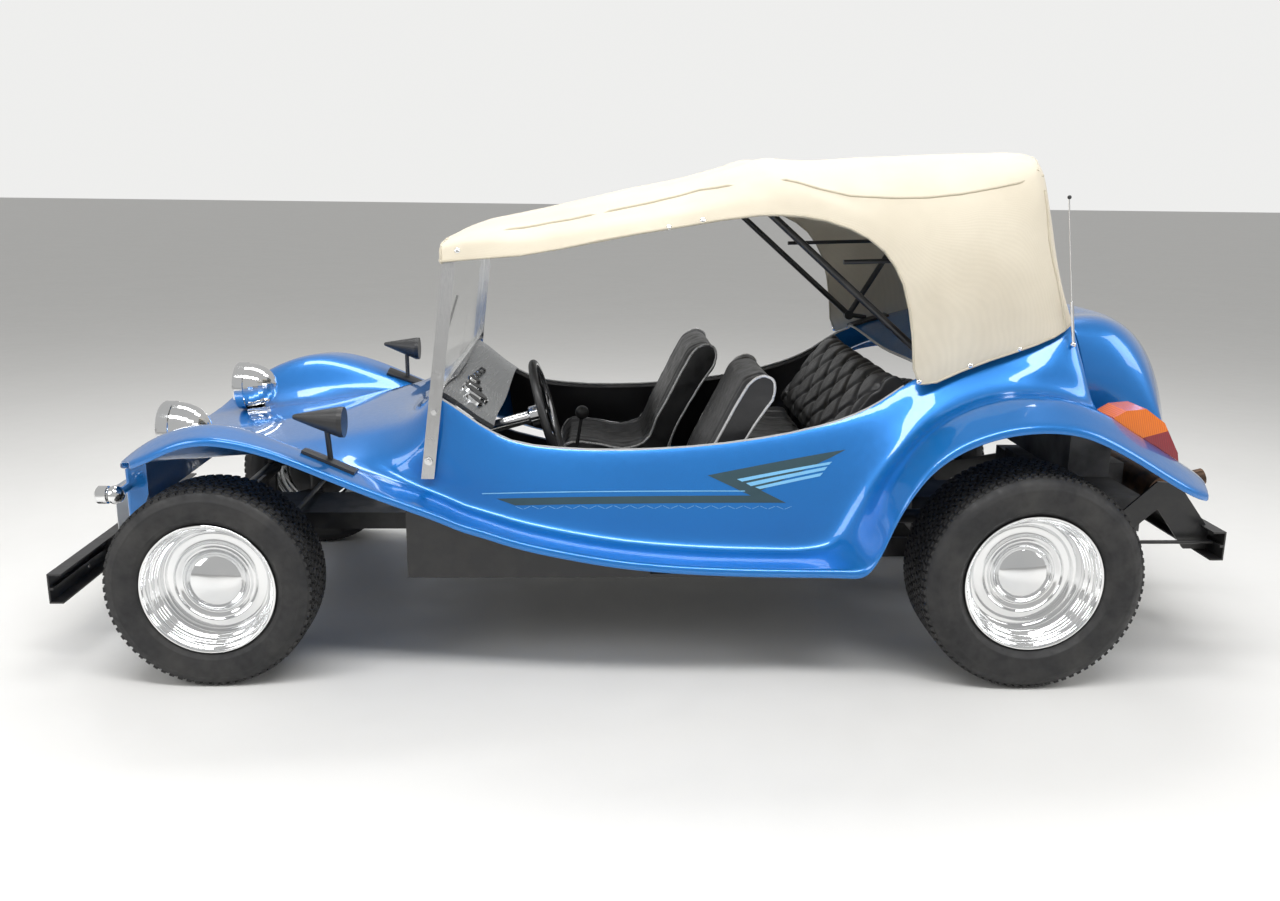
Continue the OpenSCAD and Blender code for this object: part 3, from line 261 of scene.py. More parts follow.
chrome = Finish("bright_chrome", (0.83, 0.84, 0.85), 0.05, 1.0)
chrome.roughness(chrome.level(chrome.noise(30, 5), 0.35, 0.75, 0.035, 0.12))
chrome.color(chrome.mix(chrome.level(chrome.noise(6, 3), 0.35, 0.7), (0.80, 0.81, 0.82), (0.88, 0.88, 0.88)))

bright = Finish("polished_aluminium", (0.80, 0.80, 0.80), 0.16, 1.0)
grain = bright.noise(9, 5, at=bright.stretched((60, 60, 2)))
bright.roughness(bright.level(grain, 0.3, 0.7, 0.1, 0.26))
bright.color(bright.mix(grain, (0.74, 0.74, 0.75), (0.86, 0.86, 0.86)))

plastic = Finish("grained_black_plastic", (0.02, 0.02, 0.021), 0.42)
plastic.bump(plastic.cells(900), 0.0002, 0.5)
plastic.color(plastic.mix(plastic.noise(25, 5), (0.016, 0.016, 0.017), (0.03, 0.03, 0.031)))

panel = Finish("brushed_grey_panel", (0.35, 0.36, 0.37), 0.3, 0.85)
streak = panel.noise(7, 5, at=panel.stretched((8, 1, 80)))
panel.roughness(panel.level(streak, 0.3, 0.7, 0.22, 0.42))
panel.color(panel.mix(streak, (0.24, 0.25, 0.26), (0.46, 0.47, 0.48)))

cast = Finish("rough_cast_metal", (0.09, 0.09, 0.095), 0.62, 0.6)
cast.bump(cast.noise(180, 6), 0.0009, 0.7)
cast.color(cast.mix(cast.level(cast.noise(9, 6), 0.3, 0.7), (0.05, 0.05, 0.052), (0.15, 0.15, 0.15)))

hot_steel = Finish("heat_browned_steel", (0.12, 0.08, 0.06), 0.45, 0.9)
scale_marks = hot_steel.level(hot_steel.noise(18, 7), 0.35, 0.7)
hot_steel.color(hot_steel.mix(scale_marks, (0.045, 0.035, 0.03), (0.26, 0.15, 0.09)))
hot_steel.roughness(hot_steel.level(scale_marks, 0, 1, 0.35, 0.6))
hot_steel.bump(hot_steel.noise(120, 5), 0.0005, 0.5)

white_paint = Finish("blank_plate_white", (0.78, 0.78, 0.76), 0.35)
white_paint.roughness(white_paint.level(white_paint.noise(40, 4), 0.3, 0.7, 0.3, 0.45))
white_paint.color(white_paint.mix(white_paint.noise(12, 5), (0.74, 0.74, 0.72), (0.82, 0.82, 0.80)))
print("hard finishes:", len(bpy.data.materials))

# %% [markdown]
# Rubber, vinyl and canvas are the soft ones. Tyre rubber is nearly black and dull, browner where
# it has aged. The vinyl has a leather-like grain, drawn by Voronoi cells. The canvas is a plain
# weave: two wave textures at right angles make its threads, a millimetre or so apart.

# %% Soft finishes
rubber = Finish("tyre_rubber", (0.018, 0.018, 0.019), 0.62)
worn = rubber.level(rubber.noise(11, 6), 0.4, 0.7)
rubber.color(rubber.mix(worn, (0.014, 0.014, 0.015), (0.032, 0.031, 0.030)))
rubber.roughness(rubber.level(rubber.noise(45, 4), 0.3, 0.7, 0.5, 0.75))
rubber.bump(rubber.noise(420, 4), 0.0003, 0.5)

vinyl = Finish("black_vinyl", (0.016, 0.016, 0.017), 0.36, Sheen_Weight=0.05)
pores = vinyl.cells(620)
vinyl.bump(pores, 0.00035, 0.6)
vinyl.bump(vinyl.noise(55, 5), 0.0008, 0.35)
vinyl.roughness(vinyl.level(vinyl.noise(26, 5), 0.3, 0.7, 0.28, 0.46))
vinyl.color(vinyl.mix(vinyl.noise(9, 4), (0.012, 0.012, 0.013), (0.024, 0.024, 0.026)))

canvas = Finish("beige_canvas", (0.66, 0.60, 0.48), 0.85, Sheen_Weight=0.25)
threads = {}
for axis in "XYZ":
    wave = canvas.node("TexWave", {"Vector": canvas.place, "Scale": 160.0, "Distortion": 1.2, "Detail": 2.0},
        bands_direction=axis)
    threads[axis] = wave.outputs["Fac"]
weave = canvas.math("ADD", canvas.math("ADD", threads["X"], threads["Y"]), threads["Z"])
canvas.bump(weave, 0.0003, 0.5)
canvas.bump(canvas.noise(7, 5), 0.004, 0.35)
soil = canvas.level(canvas.noise(4.5, 6), 0.35, 0.75)
canvas.color(canvas.mix(canvas.math("MULTIPLY", canvas.level(weave, 0.5, 2.5), 0.3),
    canvas.mix(soil, (0.68, 0.62, 0.50), (0.58, 0.52, 0.41)), (0.52, 0.47, 0.37)))
print("materials:", sorted(m.name for m in bpy.data.materials))

# %% [markdown]
# Glass is thin and nearly clear. Full refraction through thin panes costs render time and darkens
# the cabin, so the shader bends light only a little and lets most of it straight through. A lamp
# lens is dyed plastic with a gloss coat, ribbed and lightly hazed.

# %% Glass and lamps
glass = Finish("clear_glass", (0.95, 0.98, 0.98), 0.0, 0.0, Transmission_Weight=1.0, IOR=1.1, Alpha=0.3)
glass.roughness(glass.level(glass.noise(20, 4), 0.4, 0.8, 0.0, 0.04))
glass.color(glass.mix(glass.noise(6, 3), (0.93, 0.97, 0.96), (0.97, 0.99, 0.98)))
lens = Finish("lamp_plastic", (0.8, 0.2, 0.02), 0.12, Coat_Weight=0.6)
lens.color(lens.mix(lens.noise(30, 3), (0.74, 0.16, 0.012), (0.88, 0.24, 0.02)))

# %% [markdown]
# Every CAD node now gets the finish of its slot, so that nothing is left bare. Pieces made later
# take the place of some nodes, and a few nodes get a finer material of their own.

# %% First dressing of every node
finishes = {
    "blue_paint": paint, "black_paint": black, "grey_panel": panel, "polished_metal": bright,
    "clear_glass": glass, "black_plastic": plastic, "black_vinyl": vinyl, "beige_canvas": canvas,
    "chrome": chrome, "lamp_plastic": lens, "white_paint": white_paint, "black_rubber": rubber,
    "cast_metal": cast, "dark_steel": hot_steel}
for node, part in frame["nodes"].items():
    part.data.materials.clear()
    part.data.materials.append(finishes[slot_of(node)].material)
    part.data.polygons.foreach_set("use_smooth", [True] * len(part.data.polygons))
    part.data.set_sharp_from_angle(angle=CORNER)
print("dressed", len(frame["nodes"]), "nodes")

# %% [markdown]
# The body, the engine cover and the canvas are skins that curve all over. Their CAD sheets are made
# of flat triangles, so they are joined back into squares and subdivided: a Subdivision Surface
# rounds a grid of squares evenly, where the CAD model's own facets would show in the paint.

# %% Smooth skins
body = smooth_skin("body_shell", "body_skin", paint.material, 2)
cover = smooth_skin("engine_cover", "engine_cover_skin", paint.material, 1)
top = smooth_skin("canvas_top", "canvas_top_skin", canvas.material, 2)

# %% [markdown]
# The wheels are all turned shapes: bright deep-dish rims with a domed cap, and fat tyres. An
# outline of (radius, distance out) points is spun about the axle with bmesh's spin, and a
# Subdivision Surface rounds it. Where a corner has to stay crisp, the outline has two points
# close together. Each wheel replaces its CAD rim and tyre, and keeps their sizes.

# %% Wheels: helpers
def turned(outline, centre, side, steps=96):
    """An outline spun about a wheel's axle, with side 1 for the left and -1 for the right."""
    bm = bmesh.new()
    verts = [bm.verts.new((centre.x + r, centre.y + side * out, centre.z)) for r, out in outline]
    edges = [bm.edges.new(pair) for pair in zip(verts, verts[1:])]
    bmesh.ops.spin(bm, geom=verts + edges, cent=centre, axis=(0, 1, 0), angle=math.tau, steps=steps,
        use_merge=True)
    return cleaned(bm)


def rounded(piece, levels=1):
    """Finish a piece with a Subdivision Surface."""
    modifier = piece.modifiers.new("rounded", "SUBSURF")
    modifier.levels = modifier.render_levels = levels
    return piece


def middle_of(node):
    low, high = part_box(node)
    return (low + high) / 2


# %% [markdown]
# The rim's face goes in over a rolled lip, a bead seat and two steps of the well to the disc,
# where a raised ring frames the domed cap. Its back closes as the well's outside and the brake
# drum, so that the wheel is a solid thing from behind as well.

# %% Rims
def rim_outline(lip, half, disc, drum_in, drum, bore):
    face = [(0, disc + 44), (24, disc + 42.6), (48, disc + 38), (68, disc + 31), (83, disc + 21), (92, disc + 10),
        (96, disc + 2), (98, disc), (102, disc + 0.5), (107, disc + 4), (112, disc + 6.5), (116, disc + 6.5),
        (119.5, disc + 4), (121.5, disc - 1), (125, disc - 2), (146, disc - 1.5), (149, disc - 2.5),
        (150.5, disc - 6)]
    well = [(lip - 40, disc - 5), (lip - 39, disc + 2), (lip - 38.5, half - 58), (lip - 36, half - 54),
        (lip - 29, half - 48), (lip - 27.5, half - 46), (lip - 27, half - 38), (lip - 24, half - 35),
        (lip - 20, half - 33), (lip - 18.5, half - 31), (lip - 17.5, half - 14), (lip - 15.5, half - 11),
        (lip - 11, half - 8), (lip - 9.5, half - 5), (lip - 8, half - 1.5), (lip - 5, half), (lip - 1.5, half),
        (lip, half - 2), (lip - 0.5, half - 5), (lip - 3, half - 7), (lip - 6, half - 9), (lip - 14, half - 10)]
    back = [(lip - 16, half - 36), (lip - 34, half - 46), (lip - 34, 52 - half), (lip - 16, 38 - half),
        (lip - 16, 11 - half), (lip - 4, 9 - half), (lip - 0.5, 4 - half), (lip - 2, 1 - half), (lip - 7, 2 - half),
        (lip - 21, 14 - half), (lip - 22, 42 - half), (lip - 39, 56 - half), (lip - 40, disc - 14),
        (drum + 4, disc - 12), (drum, disc - 16), (drum, drum_in + 4), (drum - 4, drum_in), (bore + 8, drum_in),
        (bore + 0.2, drum_in + 1), (bore + 0.2, disc - 16), (0, disc - 16)]
    return [(r / 1000, out / 1000) for r, out in face + well + back]


wheels = {
    "front": dict(lip=196, half=96, disc=12, drum_in=-76),
    "rear": dict(lip=207, half=115, disc=16, drum_in=-112)}
for end, sizes in wheels.items():
    for side, word in ((1, "left"), (-1, "right")):
        node = f"{end}_rim_{word}"
        centre = middle_of(f"{end}_tyre_{word}")
        outline = rim_outline(drum=112, bore=17.1, **sizes)
        rim = rounded(finished(turned(outline, centre, side), node + "_chrome", f"wheel_{end}_{word}",
            chrome.material))
        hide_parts(node)
        print(node, "is", round(2 * sizes["lip"] / 25.4, 1), "inches over the lips")

# %% [markdown]
# A tyre is a spun carcass with two raised rings on each sidewall, and a tread of separate rubber
# blocks. Each block is a small box from bmesh's create_cube, narrowed on top and skewed, and
# turned into its place round the tyre. Odd ribs are set half a pitch on, and
# the shoulder blocks reach down over the edge, as on a road tyre of the time.

# %% Tyres
def tyre_outline(r, w, lip, half):
    side, high, seat = w / 2, r - lip, lip - 16.5
    tread = side * 0.76
    edge = [(seat, half - 22), (seat, half - 11), (lip - 4, half - 10.5), (lip + 1, half - 9), (lip + 4, half - 5),
        (lip + 0.15 * high, side - 9), (lip + 0.17 * high, side - 6.6), (lip + 0.2 * high, side - 6),
        (lip + 0.23 * high, side - 5.6), (lip + 0.25 * high, side - 5.4), (lip + 0.38 * high, side - 1.6),
        (lip + 0.5 * high, side - 0.4), (lip + 0.6 * high, side - 1.6), (lip + 0.62 * high, side - 2.4),
        (lip + 0.64 * high, side - 1.6), (lip + 0.69 * high, side - 3.0), (lip + 0.71 * high, side - 5),
        (lip + 0.8 * high, side - 9), (r - 13, tread + 11.5), (r - 9.5, tread + 5), (r - 8.2, tread - 4),
        (r - 8, tread * 0.5)]
    edge = edge + [(x, -y) for x, y in reversed(edge)]
    return [(x / 1000, y / 1000) for x, y in edge + edge[:1]]


def tread_block(bm, centre, spot, size, turn, skew):
    """One block: spot is (radius, distance out), size is (round, across, deep), all in metres."""
    block = bmesh.ops.create_cube(bm, size=1)["verts"]
    bmesh.ops.scale(bm, vec=(size[2], size[1], size[0]), verts=block)
    for v in block:
        v.co.z += skew * v.co.y
        if v.co.x > 0:
            v.co.z *= 0.86
            v.co.y *= 0.92
    place = Matrix.Rotation(turn, 4, "Y") @ Matrix.Translation((spot[0], 0, 0))
    bmesh.ops.transform(bm, matrix=Matrix.Translation(centre + Vector((0, spot[1], 0))) @ place, verts=block)


def tread(r, w, centre, pitches, ribs):
    bm = bmesh.new()
    side = w / 2
    half = side * 0.76 - 2
    step = math.tau / pitches
    width = 2 * half / ribs
    for k in range(pitches):
        for j in range(ribs):
            across = -half + width * (j + 0.5)
            crown = 3.0 * (abs(across) / half) ** 3
            turn = step * (k + 0.5 * (j % 2))
            tread_block(bm, centre, ((r - 4.6 - crown) / 1000, across / 1000),
                (0.80 * step * r / 1000, 0.84 * width / 1000, 0.0088), turn, 0.35 if j % 2 else -0.35)
        for out in (-1, 1):
            tread_block(bm, centre, ((r - 12) / 1000, out * (half + 6.5) / 1000),
                (0.62 * step * r / 1000, 0.012, 0.013), step * k, 0.0)
    return bm


tyres = {"front": dict(r=302, w=215, lip=196, half=96), "rear": dict(r=332, w=272, lip=207, half=115)}
blocks_of = {"front": dict(pitches=72, ribs=7), "rear": dict(pitches=84, ribs=9)}
for end, sizes in tyres.items():
    for side, word in ((1, "left"), (-1, "right")):
        node = f"{end}_tyre_{word}"
        centre = middle_of(node)
        rides_on = f"wheel_{end}_{word}"
        carcass = rounded(finished(turned(tyre_outline(**sizes), centre, side), node + "_carcass",
            rides_on, rubber.material))
        blocks = finished(tread(sizes["r"], sizes["w"], centre, **blocks_of[end]), node + "_tread",
            rides_on, rubber.material)
        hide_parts(node)
        print(node, len(carcass.data.polygons), "carcass faces and", len(blocks.data.polygons), "tread faces")

# %% [markdown]
# Edges are where a real skin shows its thickness: the canvas has a rolled hem and the cockpit rim a
# welt. Both follow sharp edges that the CAD sheet already has, so the next helper walks those edges
# into loops, and another turns a path into a round cord by giving a curve a bevel.

# %% Helpers: loops and cords
def sharp_loops(node, least=math.radians(50)):
    """The closed runs of sharp edges on a CAD node, each as a list of points."""
    bm = bmesh.new()
    bm.from_mesh(frame["nodes"][node].data)
    bmesh.ops.remove_doubles(bm, verts=bm.verts, dist=2e-5)
    sharp = {e for e in bm.edges if len(e.link_faces) == 2 and e.calc_face_angle(0) > least}
    loops = []
    while sharp:
        edge = min(sharp, key=lambda e: e.index)
        sharp.discard(edge)
        start, at = edge.verts
        run = [start.co.copy(), at.co.copy()]
        while at is not start:
            onward = sorted((e for e in at.link_edges if e in sharp), key=lambda e: e.index)
            if not onward:
                break
            sharp.discard(onward[0])
            at = onward[0].other_vert(at)
            run.append(at.co.copy())
        loops.append(run)
    bm.free()
    return loops


def length_of(run):
    return sum((b - a).length for a, b in zip(run, run[1:]))


def cord_piece(name, runs, radius, body, material, closed=False, sides=3):
    """Round cords along several runs of points, as one piece."""
    curve = bpy.data.curves.new(name, "CURVE")
    curve.dimensions = "3D"
    curve.bevel_depth = radius
    curve.bevel_resolution = sides
    curve.use_fill_caps = True
    for run in runs:
        spline = curve.splines.new("POLY")
        spline.points.add(len(run) - 1)
        for point, place in zip(spline.points, run):
            point.co = (*place, 1)
        spline.use_cyclic_u = closed
    holder = bpy.data.objects.new(name + "_path", curve)
    scene.collection.objects.link(holder)
    bpy.context.view_layer.update()
    mesh = bpy.data.meshes.new_from_object(holder.evaluated_get(bpy.context.evaluated_depsgraph_get()))
    bpy.data.objects.remove(holder)
    bm = bmesh.new()
    bm.from_mesh(mesh)
    bpy.data.meshes.remove(mesh)
    return finished(cleaned(bm), name, body, material)


def surface_of(piece):
    """A search tree of a piece's finished surface, for laying things on it."""
    bpy.context.view_layer.update()
    return BVHTree.FromObject(piece, bpy.context.evaluated_depsgraph_get())


def laid(surface, runs, lift=0.0):
    """Runs of points moved onto the nearest place on a surface, then lifted off it."""
    out = []
    for run in runs:
        hits = [surface.find_nearest(p) for p in run]
        out.append([place + normal * lift for place, normal, _, _ in hits])
    return out


def filled_in(points, step=0.03):
    """Points added along a run, so that it can follow a curved surface."""
    out = []
    for a, b in zip(points, points[1:]):
        n = max(1, round((Vector(b) - Vector(a)).length / step))
        out += [Vector(a).lerp(Vector(b), i / n) for i in range(n)]
    return out + [Vector(points[-1])]


def on_both_sides(runs):
    return runs + [[Vector((p.x, -p.y, p.z)) for p in run] for run in runs]

# %% [markdown]
# The soft top is one piece of canvas, stretched over the bows and snapped to the body. Its skin came
# smooth from the CAD sheet. Canvas under pull still has soft hollows, so two Displace modifiers
# move it a few millimetres with cloud noise: along fixed axes, so both faces move together.
# The hem is a cord on the sheet's own edges, and the piped seams run over the roof's edges.

# %% The canvas top
hem_canvas = Finish("canvas_binding", (0.5, 0.45, 0.35), 0.8, Sheen_Weight=0.2)
hem_canvas.bump(hem_canvas.noise(900, 3), 0.0003, 0.6)
hem_canvas.color(hem_canvas.mix(hem_canvas.noise(20, 5), (0.46, 0.41, 0.31), (0.58, 0.53, 0.42)))
folds = bpy.data.textures.new("soft_hollows", "CLOUDS")
folds.noise_scale = 0.16
folds.noise_depth = 2
for way, depth in (("Z", 0.008), ("Y", 0.006)):
    hollow = top.modifiers.new("hollows_" + way, "DISPLACE")
    hollow.texture = folds
    hollow.texture_coords = "LOCAL"
    hollow.direction = way
    hollow.strength = depth
    hollow.mid_level = 0.5
top_surface = surface_of(top)
hem_runs = [r for r in sharp_loops("canvas_top") if length_of(r) > 0.4]
hem = cord_piece("canvas_hem", laid(top_surface, hem_runs), 0.0035, body_of("canvas_top"),
    hem_canvas.material, sides=2)
roof_edge = [(0.645, 0.536, 1.292), (0.429, 0.502, 1.322), (0.195, 0.466, 1.366), (-0.102, 0.450, 1.439),
    (-0.343, 0.538, 1.471), (-0.532, 0.542, 1.428), (-0.682, 0.530, 1.424), (-0.860, 0.528, 1.438),
    (-1.036, 0.524, 1.474), (-1.119, 0.490, 1.495)]
rear_corner = [(-1.115, 0.519, 1.452), (-1.134, 0.545, 1.309), (-1.173, 0.560, 1.164), (-1.205, 0.568, 1.03)]
seam_runs = on_both_sides([filled_in(roof_edge), filled_in(rear_corner)])
seams = cord_piece("canvas_piping", laid(top_surface, seam_runs, 0.0015), 0.004, body_of("canvas_top"),
    hem_canvas.material, sides=2)
snap_places = [(-0.7525, 0.615, 0.891), (-0.909, 0.602, 0.940), (-1.058, 0.589, 0.987), (-0.0015, 0.606, 1.337),
    (-0.0985, 0.604, 1.357), (0.6, 0.632, 1.27)]
snaps_bm = bmesh.new()
for x, y, z in snap_places:
    for side in (1, -1):
        place, normal, _, _ = top_surface.find_nearest(Vector((x, side * y, z)))
        if normal.y * side < 0:
            normal = -normal
        turn = normal.to_track_quat("Z", "Y").to_matrix().to_4x4()
        bmesh.ops.create_uvsphere(snaps_bm, u_segments=12, v_segments=6, radius=0.0085,
            matrix=Matrix.Translation(place) @ turn @ Matrix.Diagonal((1, 1, 0.45, 1)))
snaps = finished(snaps_bm, "canvas_snaps", body_of("canvas_top"), chrome.material)
print("hem runs:", len(hem_runs), "snaps:", 2 * len(snap_places))

# %% [markdown]
# Seats are foam under stretched vinyl. Pressing a mesh up like a balloon gives that look: a copy of
# the CAD cushion is remeshed into even squares, drawn in a little, and a cloth simulation blows it
# up with no gravity. Its movement is capped, so it stays in its place. Pleats, tufts and
# wrinkles are then pressed into the surface, each by how far a point lies from its line.

# %% Helpers: padded pieces
def remeshed(node, voxel):
    holder = bpy.data.objects.new("remeshing", frame["nodes"][node].data.copy())
    scene.collection.objects.link(holder)
    even = holder.modifiers.new("even", "REMESH")
    even.mode = "VOXEL"
    even.voxel_size = voxel
    bpy.context.view_layer.update()
    mesh = bpy.data.meshes.new_from_object(holder.evaluated_get(bpy.context.evaluated_depsgraph_get()))
    bpy.data.objects.remove(holder)
    return mesh


def blown_up(mesh, inset, cap):
    """Draw the mesh in, blow it up as cloth, and return how it moved, capped."""
    start = [v.co - v.normal * inset for v in mesh.vertices]
    for v, place in zip(mesh.vertices, start):
        v.co = place
    holder = bpy.data.objects.new("blowing", mesh)
    scene.collection.objects.link(holder)
    cloth = holder.modifiers.new("cloth", "CLOTH")
    cloth.settings.use_pressure = True
    cloth.settings.uniform_pressure_force = 4
    cloth.settings.quality = 4
    cloth.settings.effector_weights.gravity = 0
    cloth.point_cache.frame_start = 1
    cloth.point_cache.frame_end = 20
    for step in range(1, 21):
        scene.frame_set(step)
    blown = bpy.data.meshes.new_from_object(holder.evaluated_get(bpy.context.evaluated_depsgraph_get()))
    for v, w, place in zip(mesh.vertices, blown.vertices, start):
        moved = w.co - place
        if moved.length > cap:
            moved = moved * (cap / moved.length)
        v.co = place + moved
    bpy.data.meshes.remove(blown)
    scene.frame_set(1)
    bpy.data.objects.remove(holder)
    mesh.update()
    return mesh


def cushion(node, name, press, voxel=0.009, inset=0.004, cap=0.009):
    """A padded copy of a CAD cushion; press(place, normal) says how deep a point is pressed in."""
    mesh = blown_up(remeshed(node, voxel), inset, cap)
    bm = bmesh.new()
    bm.from_mesh(mesh)
    bpy.data.meshes.remove(mesh)
    bmesh.ops.smooth_vert(bm, verts=bm.verts, factor=0.5, use_axis_x=True, use_axis_y=True, use_axis_z=True)
    bm.normal_update()
    moves = [(v, v.normal * press(v.co, v.normal)) for v in bm.verts]
    for v, move in moves:
        v.co -= move
    piece = finished(bm, name, body_of(node), vinyl.material, math.pi)
    rounded = piece.modifiers.new("rounded", "SUBSURF")
    rounded.levels = rounded.render_levels = 1
    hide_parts(node)
    print(name, len(piece.data.polygons), "squares")
    return piece


def groove(distance, width, depth):
    """The depth of a soft groove at some distance from its middle line."""
    return depth * math.exp(-((distance / width) ** 2))


def wrinkles(place, depth=0.0022):
    return depth * noise.noise(place * 22) + 0.5 * depth * noise.noise(place * 55)

# %% [markdown]
# Each front seat is a low bucket: a shell that turns up at the back, with a pleat down both sides
# and bright piping sewn along its outer edge. The piping is a cord on the CAD seat's own outline,
# moved onto the blown-up surface, so it follows the foam where the foam has swelled.

# %% Front seats


def bucket_press(place, normal):
    """Pleats across the seat and its back, and wrinkles all over."""
    middle = 0.292 if place.y > 0 else -0.292
    across = abs(place.y - middle)
    deep = wrinkles(place)
    if normal.z > 0.35 or normal.x > 0.35:
        deep += groove(across - 0.165, 0.007, 0.007)
    return deep


driver_seat = cushion("driver_bucket", "driver_seat_padding", bucket_press)
passenger_seat = cushion("passenger_bucket", "passenger_seat_padding", bucket_press)
piping = Finish("silver_piping", (0.62, 0.62, 0.62), 0.3, 0.5)
piping.roughness(piping.level(piping.noise(80, 3), 0.3, 0.7, 0.22, 0.42))
piping.color(piping.mix(piping.noise(25, 4), (0.5, 0.5, 0.51), (0.72, 0.72, 0.72)))
for node, seat in (("driver_bucket", driver_seat), ("passenger_bucket", passenger_seat)):
    flat_runs = [r for r in sharp_loops(node)
        if length_of(r) > 1.2 and max(p.y for p in r) - min(p.y for p in r) < 0.01]
    cord_piece(node + "_piping", laid(surface_of(seat), flat_runs), 0.0045, body_of(node),
        piping.material, sides=2)
    print(node, "piping runs", len(flat_runs))

# %% [markdown]
# The rear bench has a plain pleated cushion and a back with diamond tufting. Tufting is a lattice of
# crossing grooves with a button at each crossing: the distance to the nearest slanted line
# gives the groove, and the distance to the nearest crossing a deeper dimple for the button.

# %% Rear bench
TUFT = 0.155


def tuft_lines(place):
    """Distances to the nearest line of each slant, in the plane of the back."""
    up = (place.z - 0.606) * 1.25
    a = (place.y + up) / TUFT
    b = (place.y - up) / TUFT
    return abs(a - round(a)) * TUFT * 0.7, abs(b - round(b)) * TUFT * 0.7


def tufted(place, normal):
    a, b = tuft_lines(place)
    deep = wrinkles(place, 0.001)
    if normal.x > 0.1 or normal.z > 0.5:
        deep += max(groove(a, 0.009, 0.009), groove(b, 0.009, 0.009)) + groove(math.hypot(a, b), 0.02, 0.008)
    return deep


def pleated(place, normal):
    deep = wrinkles(place, 0.0015)
    if normal.z > 0.3:
        deep += groove(abs(place.y / 0.12 - round(place.y / 0.12)) * 0.12, 0.007, 0.007)
    return deep


bench_back = cushion("bench_back", "bench_back_padding", tufted)
bench_cushion = cushion("bench_cushion", "bench_cushion_padding", pleated)
back_surface = surface_of(bench_back)
buttons = bmesh.new()
for i in range(-8, 9):
    for j in range(-8, 9):
        y = (i + j) * TUFT / 2
        z = 0.606 + (i - j) * TUFT / 2 / 1.25
        if abs(y) < 0.45 and 0.64 < z < 0.88:
            hit, normal, _, _ = back_surface.ray_cast(Vector((0.2, y, z)), Vector((-1, 0, 0)))
            if hit:
                turn = normal.to_track_quat("Z", "Y").to_matrix().to_4x4()
                bmesh.ops.create_uvsphere(buttons, u_segments=12, v_segments=6, radius=0.009,
                    matrix=Matrix.Translation(hit) @ turn @ Matrix.Diagonal((1, 1, 0.5, 1)))
finished(buttons, "tuft_buttons", body_of("bench_back"), vinyl.material)
# %% [markdown]
# The body's details lie on its skin. The welt is a soft strip that covers the raw edge of the
# cockpit opening, so it follows that edge's loop, which is picked out by its length and place.

# %% Cockpit welt
body_surface = surface_of(body)
welt_vinyl = Finish("grey_welt", (0.42, 0.43, 0.43), 0.5)
welt_vinyl.bump(welt_vinyl.noise(500, 3), 0.0002, 0.5)
welt_vinyl.color(welt_vinyl.mix(welt_vinyl.noise(30, 5), (0.34, 0.35, 0.35), (0.5, 0.5, 0.5)))


def is_cockpit(run):
    """True for a loop round the cockpit: high up, between the fenders, and long."""
    return length_of(run) > 2.5 and min(p.z for p in run) > 0.58 and max(abs(p.y) for p in run) < 0.72


cockpit_runs = [r for r in sharp_loops("body_shell") if is_cockpit(r)]
if cockpit_runs:
    cord_piece("cockpit_welt", laid(body_surface, cockpit_runs), 0.0045, body_of("body_shell"),
        welt_vinyl.material, sides=2)
print("cockpit loops:", [round(length_of(r), 2) for r in cockpit_runs])

# %% [markdown]
# The side graphic is thin tape. It could be painted with a texture, but an outline cut as geometry
# stays crisp and needs no image: flat outlines are cut into small triangles, each point is dropped
# sideways onto the skin, and the faces are extruded outwards by the thickness of the tape.

# %% Side stripe
def tape(name, color, outlines, lift):
    """Thin tape on both sides of the body, from outlines of (x, z) corners."""
    finish = Finish(name, color, 0.35, Coat_Weight=0.3)
    finish.roughness(finish.level(finish.noise(70, 4), 0.3, 0.7, 0.28, 0.45))
    lighter = tuple(min(1.0, c * 1.25) for c in color)
    finish.color(finish.mix(finish.noise(15, 5), color, lighter))
    bm = bmesh.new()
    for outline in outlines:
        bm.faces.new([bm.verts.new((x, 0, z)) for x, z in outline])
    bmesh.ops.triangulate(bm, faces=bm.faces)
    while True:
        long_edges = [e for e in bm.edges if e.calc_length() > 0.035]
        if not long_edges:
            break
        bmesh.ops.subdivide_edges(bm, edges=long_edges, cuts=1)
        bmesh.ops.triangulate(bm, faces=bm.faces)
    copy = bmesh.ops.duplicate(bm, geom=bm.verts[:] + bm.edges[:] + bm.faces[:])
    far = {v for v in copy["geom"] if isinstance(v, bmesh.types.BMVert)}
    side_of = {v: -1 if v in far else 1 for v in bm.verts}
    lost = []
    for v, side in side_of.items():
        hit, _, _, _ = body_surface.ray_cast(Vector((v.co.x, side * 1.5, v.co.z)), Vector((0, -side, 0)))
        if hit is None:
            lost.append(v)
        else:
            v.co = hit + Vector((0, side, 0)) * lift
    bmesh.ops.delete(bm, geom=lost, context="VERTS")
    flat = bm.faces[:]
    raised = bmesh.ops.extrude_face_region(bm, geom=flat, use_keep_orig=True)["geom"]
    for v in raised:
        if isinstance(v, bmesh.types.BMVert):
            v.co.y += math.copysign(0.0003, v.co.y)
    print(name, "faces", len(bm.faces), "lost", len(lost))
    return finished(cleaned(bm, 1e-6), name, body_of("body_shell"), finish.material)


